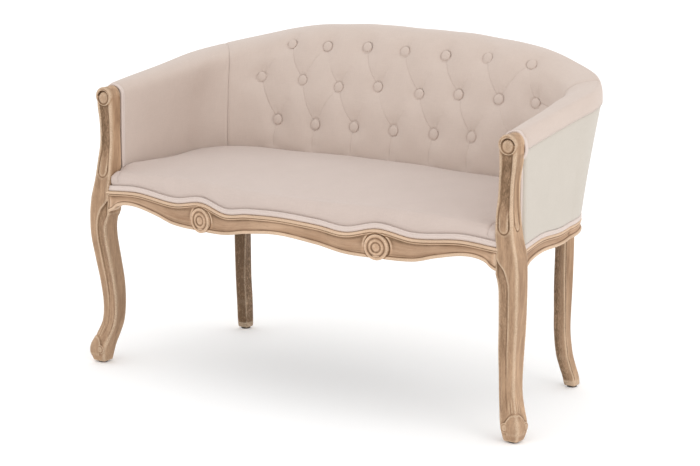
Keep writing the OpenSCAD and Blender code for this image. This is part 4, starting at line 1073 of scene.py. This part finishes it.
backSet = {
    "columns": 620, "faceRows": 230, "rollRows": 40, "rowPitch": 87.0, "dimple": 8.0, "dimpleWide": 25.0,
    "pit": 2.8, "pitAt": 12.2, "pitWide": 1.8, "valley": 3.2, "valleyWide": 15.0, "crease": 2.3, "creaseWide": 1.5,
    "low": 530.0, "drop": 5.0, "lift": 6.0, "foot": 468.0, "blur": 15.0, "blurBelow": 80.0,
    "seamDeep": 1.6, "seamWide": 3.0, "waves": -0.8, "waveLength": 120.0,
    # Columns of the buttons in each row, from the lowest, in pitches from the middle
    "columnsOf": [list(range(-3, 4)), [k + 0.5 for k in range(-4, 4)], list(range(-3, 4))],
    # How far each button of the hand-tufted back sits above and to the right of the even net, in millimetres
    "rise": [[2, 1, 4.5, 6, 9, 13, 13], [13, 2.5, -3, 6.5, 0, 9, 7, 18], [4, 0, 7.5, 6, 6, 9, 16]],
    "slide": [[3.5, 2, 1, 1.5, 4, 0, 0], [-3, 0.5, -2.5, -4, 3, 0.5, 1, -12], [1, -4, -2.5, -4.5, -1.5, 1, 7]],
    # Column of the corner seam by height
    "seam": [[398, 4.008], [476, 4.008], [500, 4.017], [550, 4.064], [600, 4.132], [650, 4.21],
             [680, 4.25], [760, 4.25]],
}
# Grid, outward directions, columns and rows of the untufted face, for the buttons
backPlaces = {}


# Place of a button in the opened-out back: even net of pitches plus its own rise and slide
def buttonAt(row, k):
    index = backSet["columnsOf"][row].index(k)
    return k * shell["pitch"] + backSet["slide"][row][index], row * backSet["rowPitch"] + backSet["rise"][row][index]


# Column of the corner seam at a height
def seamColumn(z):
    return flow(backSet["seam"], z)


# Depth below the full face, in millimetres, from the column c and the row r of buttons:
# dimples as Gaussians of the distance to a button, folds as Gaussians of the distance to a bent line
def tuftDepth(c, r, bottom):
    spec = backSet
    p, q = shell["pitch"], spec["rowPitch"]
    x, y = c * p, r * q
    dimple, wide, sharp = (np.zeros_like(x) for _ in range(3))
    for row, columns in enumerate(spec["columnsOf"]):
        for k in columns:
            x0, y0 = buttonAt(row, k)
            away = np.hypot(x - x0, y - y0)
            dimple = np.maximum(dimple, spec["dimple"] * bell(away, spec["dimpleWide"])
                                + spec["pit"] * bell(away - spec["pitAt"], spec["pitWide"]))

    def fold(x0, y0, x1, y1, bulge, startAmp, midAmp, endAmp, reach=1.0):
        # From (x0, y0) to (x1, y1); amplitudes at the start, the middle and the end
        nonlocal wide, sharp
        dx, dy = x1 - x0, y1 - y0
        size = math.hypot(dx, dy)
        t = ((x - x0) * dx + (y - y0) * dy) / size ** 2
        off = ((x - x0) * dy - (y - y0) * dx) / size - bulge * np.sin(np.pi * np.clip(t, 0, 1))
        amp = flow([[0, startAmp], [0.5, midAmp], [1, endAmp]], np.clip(t, 0, 1))
        amp = amp * ease((t + 0.10) / 0.12) * ease((reach + 0.06 - t) / 0.10)
        wide = np.maximum(wide, amp * bell(off, spec["valleyWide"]))
        lip = bell(off, spec["creaseWide"]) + 0.35 * np.tanh(off / 1.6) * bell(off, 6.0)
        sharp = np.maximum(sharp, np.clip(amp, 0, 1.2) * lip)

    rng = np.random.default_rng(11)
    # Folds that run down to the right, from each button to the next row
    for row in (2, 1):
        for k in spec["columnsOf"][row][:7]:
            faint = 0.35 if (row, k) in ((2, -2), (2, 3), (1, -0.5), (1, 2.5)) else 1.0
            fold(*buttonAt(row, k), *buttonAt(row - 1, k + 0.5), 5.0, faint * (0.75 + 0.2 * rng.uniform()),
                 faint * (0.6 + 0.25 * rng.uniform()), 1.1)
    # Folds that run up to the right, full for a few buttons and short for the others
    for row in (0, 1):
        for k in spec["columnsOf"][row][:7]:
            run = (0.6, 0.55, 1.0) if (row, k) in ((1, -2.5), (0, -2), (1, 2.5)) else (0.15, 0.0, 0.5)
            fold(*buttonAt(row, k), *buttonAt(row + 1, k + 0.5), -3.0, 1.0, *run)

    def tick(row, k, startX, endX, high, startAmp, midAmp):
        # Straight fold up from a button that dies out at its end
        x0, y0 = buttonAt(row, k)
        fold(x0 + startX, y0, x0 + endX, y0 + high, 0.0, startAmp, midAmp, 0.0)

    # Short ticks above the buttons of the two lower rows, in a narrow V
    for row in (0, 1):
        for k in spec["columnsOf"][row]:
            tick(row, k, -2, -5, 30, 0.9, 0.5)
            tick(row, k, 3, 7 + 5 * rng.uniform(), 36, 1.0, 0.7)
    # Short pleats above the top row, in pairs, and one above the last button on the right
    for k in spec["columnsOf"][2]:
        tick(2, k, 2, 2, 34, 0.9, 0.5)
        tick(2, k, 5, 13, 36, 0.9, 0.5)
    tick(1, 3.5, 2, 4, 48, 1.0, 0.7)
    # Pleats from the lowest row down to the seat
    for k in spec["columnsOf"][0]:
        x0, y0 = buttonAt(0, k)
        fold(x0, y0, x0 - 5 + 4 * rng.uniform(), bottom * q, 3.0, 1.0, 0.85, 1.0)
    # Tuck from the last button on the right to the corner seam
    x0, y0 = buttonAt(1, 3.5)
    fold(x0 + 3, y0 + 4, 4.2 * p, 1.12 * q, -5.0, 1.1, 0.9, 0.6)
    rest = np.clip(1 - dimple / spec["dimple"], 0, 1)
    return dimple + rest * spec["valley"] * wide + (0.65 + 0.35 * rest) * spec["crease"] * sharp


# Inside back: the shell's inner face less the tufts, over the rolled edge and down the core
def backGrid():
    spec = backSet
    share = np.linspace(-1, 1, spec["columns"])
    cTop = share * seamColumn(700.0)
    wTop = columnPlace(cTop)
    z = faceHeights(wTop, spec)
    c = share[None] * seamColumn(z)
    # Row by height: even between the lowest and the highest row, the middle one lifted
    tall = browAt(wTop)[None] - spec["drop"] - spec["low"]
    even = (z - spec["low"]) / tall
    r = 2 * even - 2 * spec["lift"] / tall * np.clip(1 - (2 * even - 1) ** 2, 0, 1)
    grid, _ = paddedFace(columnPlace(c), z, wTop, spec)
    over = running(stepLengths(grid[spec["faceRows"] - 1:], 0))[1:, None]
    rAll = np.concatenate([r, r[-1:] + over / spec["rowPitch"] + 0 * cTop[None]])
    cAll = np.concatenate([c, np.broadcast_to(cTop, (len(over), spec["columns"]))])
    depth = tuftDepth(cAll, rAll, -(spec["low"] - spec["foot"]) / spec["rowPitch"])
    zAll = grid[..., 2]
    fade = ease((zAll - 458) / 28)
    seamAway = np.abs(np.abs(cAll) - seamColumn(zAll)) * shell["pitch"]
    depth = depth * fade * ease(seamAway / 14)
    depth += spec["seamDeep"] * bell(seamAway, spec["seamWide"])
    waves = slowWaves(5, cAll * shell["pitch"], rAll * spec["rowPitch"], spec["waveLength"])
    depth += spec["waves"] * waves * ease(seamAway / 30) * fade
    depth[-spec["rollRows"]:] *= np.linspace(1, 0.3, spec["rollRows"])[:, None]
    normals = gridNormals(grid)
    facing = normals * np.sign(-normals[60, spec["columns"] // 2, 1])
    backPlaces.update(grid=grid, facing=facing, column=cAll, row=rAll)
    return np.concatenate([grid - facing * depth[..., None], np.stack(coreRows(wTop))])


back = tubeObject("insideBack", backGrid(), isAcross=True)
standFor(back, "inside_back", "backLinen")
print("stage: inside back", len(back.data.polygons))


# Covered button: a low dome with a rolled rim on a shank, its rings swept about the inward direction
def buttonGrid(row, k):
    x0, y0 = buttonAt(row, k)
    far = (backPlaces["column"] * shell["pitch"] - x0) ** 2 + (backPlaces["row"] * backSet["rowPitch"] - y0) ** 2
    i, j = np.unravel_index(np.argmin(far), far.shape)
    out = unitRows(backPlaces["facing"][i, j] * np.array([1, 1, 0.7]))
    across = np.array([-out[1], out[0], 0.0]) / np.hypot(out[0], out[1])
    rows = [(0.05, 0), (2, 0), (2, 5), (9.4, 5.0), (10.8, 5.4), (11.3, 6.4), (11.3, 7.6), (10.9, 8.5), (10.0, 9.2),
            (8.4, 9.8), (6.0, 10.2), (3.0, 10.5), (0.05, 10.6)]
    sunk = 14.7
    return turned(smoothRows(rows, 50), backPlaces["grid"][i, j] - out * sunk, out, across, np.cross(out, across), 48)


buttons = tubeObject("backButtons", *(buttonGrid(row, k) for row in (0, 1, 2) for k in backSet["columnsOf"][row]))
standFor(buttons, "back_buttons", "backLinen")
print("stage: buttons")

armSet = {
    "columns": 210, "faceRows": 90, "rollRows": 26, "room": 1.6, "gap": 0.0004, "endGap": 0.004, "blur": 12.0,
    "blurBelow": 70.0, "seamDeep": 1.6, "seamWide": 3.0, "endDeep": 2.6, "endWide": 3.6, "waves": 0.9,
    "waveLength": 150.0,
}
armRun = levels["ridge"][2] - levels["ridge"][3] - shell["postBack"]
armStart = 1 - shell["sideEnd"] * armSet["room"] / armRun


# Plain arm pad from the corner seam to the arm end, with a slow undulation
def armGrid(side):
    spec, end = armSet, armStart - armSet["endGap"]
    t = np.linspace(0, 1, spec["columns"])
    wTop = mixTo(float(columnPlace(4.25)) + spec["gap"], end, t)
    z = faceHeights(wTop, spec)
    grid, face = paddedFace(mixTo(columnPlace(seamColumn(z[:, :1])) + spec["gap"], end, t[None]), z, wTop, spec)
    away = running(np.linalg.norm(np.diff(face[40], axis=0), axis=1))[None]
    left = away[0, -1] - away
    groove = spec["seamDeep"] * bell(away, spec["seamWide"]) + spec["endDeep"] * bell(left, spec["endWide"])
    waves = spec["waves"] * slowWaves(8, away + 0 * grid[..., 2], grid[..., 2], spec["waveLength"])
    waves = waves * ease(away / 25) * ease(left / 25)
    normals = gridNormals(grid)
    grid = grid - normals * np.sign(-normals[40, 100, 0]) * (groove - waves)[..., None]
    return np.concatenate([grid, np.stack(coreRows(wTop))]) * [side, 1, 1]


for side, label in sides:
    piece = tubeObject(label + "InsideArm", armGrid(side), isAcross=True)
    standFor(piece, label + "_inside_arm", "backLinen")
print("stage: inside arms")

panelSet = {"rows": 90, "cloth": 1.3, "bend": 8.0, "armLength": 256.0, "turnIn": 27.0}


# Outside panel: one cloth face over its edges, with the cloth's thickness behind it
def panelGrid(start, end, count):
    spec = panelSet
    atArm = abs(start) > 0.9
    w = mixTo(start, end, np.linspace(0, 1, count) ** (1.5 if atArm else 1))
    low, high = ringTop(w) + 2 * shell["cord"] + shell["fit"], seamAt(w) - shell["fit"]
    t = np.linspace(0, 1, spec["rows"])
    z = mixTo(low[None], high[None], t[:, None])
    edge = ease(np.minimum(t, 1 - t) * spec["rows"] / 3)[:, None]
    depth = shell["panelOut"] + spec["cloth"] * (1 - edge) + 0 * z
    if atArm:
        # Quarter round at the arm's end, then a return behind the post, back to the pad's core
        bend = spec["bend"]
        past = np.clip(bend - np.abs(w - start) / shell["sideEnd"] * spec["armLength"], 0, bend)
        depth = depth + bend - np.sqrt(np.clip(bend ** 2 - past ** 2, 0, None))[None]
    outer = layerAt(w[None] + 0 * z, depth, z)
    if atArm:
        turnIn = [layerAt(w[0] + 0 * z[:, 0], mixTo(spec["turnIn"], depth[:, 0], share), z[:, 0])
                  for share in np.linspace(0, 0.93, 12)]
        outer = np.concatenate([np.stack(turnIn, axis=1), outer], axis=1)
    normals = gridNormals(outer)
    row, column = spec["rows"] // 2, outer.shape[1] * 2 // 3
    inward = inwardAt(w[count * 2 // 3], z[row, count * 2 // 3])
    inner = outer + normals * np.sign((normals[row, column, :2] * inward).sum()) * spec["cloth"]
    return np.concatenate([outer, inner[::-1]]), outer


for name, cadName, start, end, count in (
    ("leftOutsideArm", "left_outside_arm", -armStart + 0.0015, -0.4404, 260),
    ("rightOutsideArm", "right_outside_arm", armStart - 0.0015, 0.4404, 260),
    ("outsideBack", "outside_back", -0.4396, 0.4396, 420),
):
    grid, outer = panelGrid(start, end, count)
    piece = tubeObject(name, grid, isAcross=True)
    standFor(piece, cadName, "outsideLinen")
print("stage: outside panels")


# Double welt: two round cords side by side, swept along centres with directions across and out
def weltGrid(centre, across, out, high=2.5, low=2.5, count=30):
    a = np.linspace(-0.5 * np.pi + 0.45, 1.5 * np.pi - 0.45, count // 2 + 1)
    lobe = np.stack([-np.cos(a), 1 + np.sin(a)], axis=1)
    lobe = lobe[lobe[:, 1] >= 0.1]
    deep = shell["cord"] / 2
    outline = np.concatenate([lobe * [deep, high], -lobe * [deep + 0.5 * (low > deep), low]])
    across, out = (np.broadcast_to(np.asarray(v, float), centre.shape)[:, None] for v in (across, out))
    return centre[:, None] + outline[None, :, 0:1] * out + outline[None, :, 1:2] * across


# The front's lower cord is flatter and taller than the upper one
def frontWelt():
    x = np.linspace(-508, 508, 560)
    y = frontY(x) + shell["lip"] - shell["cord"] / 2
    centre = np.stack([x, y, frontTop(x) + 8.6], axis=1)
    return weltGrid(centre, (0, 0, 1), (0, -1, 0), 2.1, 4.2)


# Welt along the foot of the outside panels, round the whole shell
def footWelt():
    w = np.linspace(0.9996, -0.9996, 900)
    centre = layerAt(w, shell["panelIn"] - shell["cord"] / 2, ringTop(w) + shell["cord"])
    return weltGrid(centre, (0, 0, 1), withHeight(-inwardAt(w, 0 * w + shell["ledge"]), 0.0))


# Path of the arm end's edge in the plane behind the post, as x and z: up the inner face,
# over two quarter ellipses at the ridge, and down the outer side
def armEdge(side):
    inset = shell["cord"] / 2 - 0.5
    one = np.array(1.0)
    brow, top, seam = float(browAt(one)), shell["armTop"], float(seamAt(one))
    low, foot = shell["ledge"] + 60, float(ringTop(one)) + 11
    z = np.linspace(low, brow, 60)
    face = np.stack([innerAt(one + 0 * z, z)[:, 0] + inset, z], axis=1)
    ridgeX, ridgeZ, seamX = levels["ridge"][0], top - inset, shell["sideX"] - inset
    a = np.linspace(0, np.pi / 2, 26)[1:]
    rise = np.stack([ridgeX + (face[-1, 0] - ridgeX) * np.cos(a), mixTo(brow, ridgeZ, np.sin(a))], axis=1)
    fall = np.stack([ridgeX + (seamX - ridgeX) * np.sin(a), mixTo(seam, ridgeZ, np.cos(a))], axis=1)
    t = np.linspace(0, 1, 70)[1:]
    drop = np.stack([seamX - 9.0 * ease(t / 0.14), mixTo(seam, foot, t)], axis=1)
    line = np.concatenate([face, rise, fall, drop])
    run = unitRows(np.gradient(line, axis=0))
    centre = np.stack([line[:, 0], np.full(len(line), shell["postBack"] + 2.6), line[:, 1]], axis=1)
    out = np.stack([-run[:, 1], 0 * run[:, 0], run[:, 0]], axis=1)
    # Flange of the welt, tacked flat behind the post
    reach = [(0.5, 0.6), (0.5, 3.4), (17.0, 3.4), (17.0, 0.6)]
    flange = np.stack([centre - out * q + np.array([0, 1.0, 0]) * (d - 2.2) for q, d in reach], axis=1)
    return [grid * [side, 1, 1] for grid in (weltGrid(centre, (0, 1, 0), out), flange)]


for name, cadName, grids in (
    ("seatWelt", "seat_welt", [frontWelt()]), ("outsideWelt", "outside_welt", [footWelt()]),
    ("leftArmWelt", "left_arm_welt", armEdge(-1)), ("rightArmWelt", "right_arm_welt", armEdge(1)),
):
    standFor(tubeObject(name, *grids), cadName, "weltLinen")
print("stage: welts")

# Nodes that keep their CAD form get a finish of their own
carried = {
    "innerWood": ["left_arm_rail", "right_arm_rail", "crest_rail", "rail_dowels", "corner_blocks"],
    "steel": ["corner_block_screws"], "jute": ["seat_webbing", "back_webbing"],
    "dustCloth": ["dust_cover"], "plastic": ["floor_glides"],
}
for finish, nodes in carried.items():
    for node in nodes:
        mesh = bpy.data.objects[node].data
        if not mesh.materials:
            mesh.materials.append(materials[finish])
        for index in range(len(mesh.materials)):
            mesh.materials[index] = materials[finish]

# Floor, light and camera
floorMesh = bpy.data.meshes.new("floor")
floorMesh.from_pydata([(-30, -30, 0), (30, -30, 0), (30, 30, 0), (-30, 30, 0)], [], [(0, 1, 2, 3)])
floor = placed("floor", floorMesh)
floorMaterial, floorTree, floorShader = newMaterial("paleFloor")
cloud = noiseAt(floorTree, coordinate(floorTree), 2.0, 2, 0.5)
fill(floorTree, floorShader, {
    "Base Color": mixColour(floorTree, cloud, (0.985, 0.985, 0.985, 1), (1.0, 1.0, 1.0, 1)),
    "Roughness": 0.9, "Emission Color": (1, 1, 1, 1), "Emission Strength": 0.07,
})
floorMesh.materials.append(floorMaterial)

scene = bpy.context.scene
world = bpy.data.worlds.new("studio")
scene.world = world
world.use_nodes = True
fill(world.node_tree, world.node_tree.nodes["Background"], {"Color": (1, 1, 1, 1), "Strength": 1.1})


# Square lamp turned from its place towards the middle of the sofa
def areaLight(name, place, size, power):
    data = bpy.data.lights.new(name, "AREA")
    data.energy = power
    data.size = size
    lamp = placed(name, data)
    lamp.location = place
    lamp.rotation_euler = (Vector((0, 0, 0.4)) - Vector(place)).to_track_quat("-Z", "Y").to_euler()


areaLight("topLight", (0.3, -0.5, 3.4), 2.6, 3)
areaLight("rightLight", (3.8, -0.9, 2.0), 2.2, 25)
areaLight("frontLight", (-1.0, -4.2, 2.4), 2.6, 12)

cameraData = bpy.data.cameras.new("camera")
cameraData.lens = 123.917
cameraData.sensor_width = 36.0
cameraData.sensor_fit = "HORIZONTAL"
camera = placed("camera", cameraData)
camera.location = (2.9140, -4.3414, 1.5128)
camera.rotation_euler = (math.radians(77.23), 0.0, math.radians(34.0))
scene.camera = camera
scene.view_settings.view_transform = "Standard"
print("stage: scene")
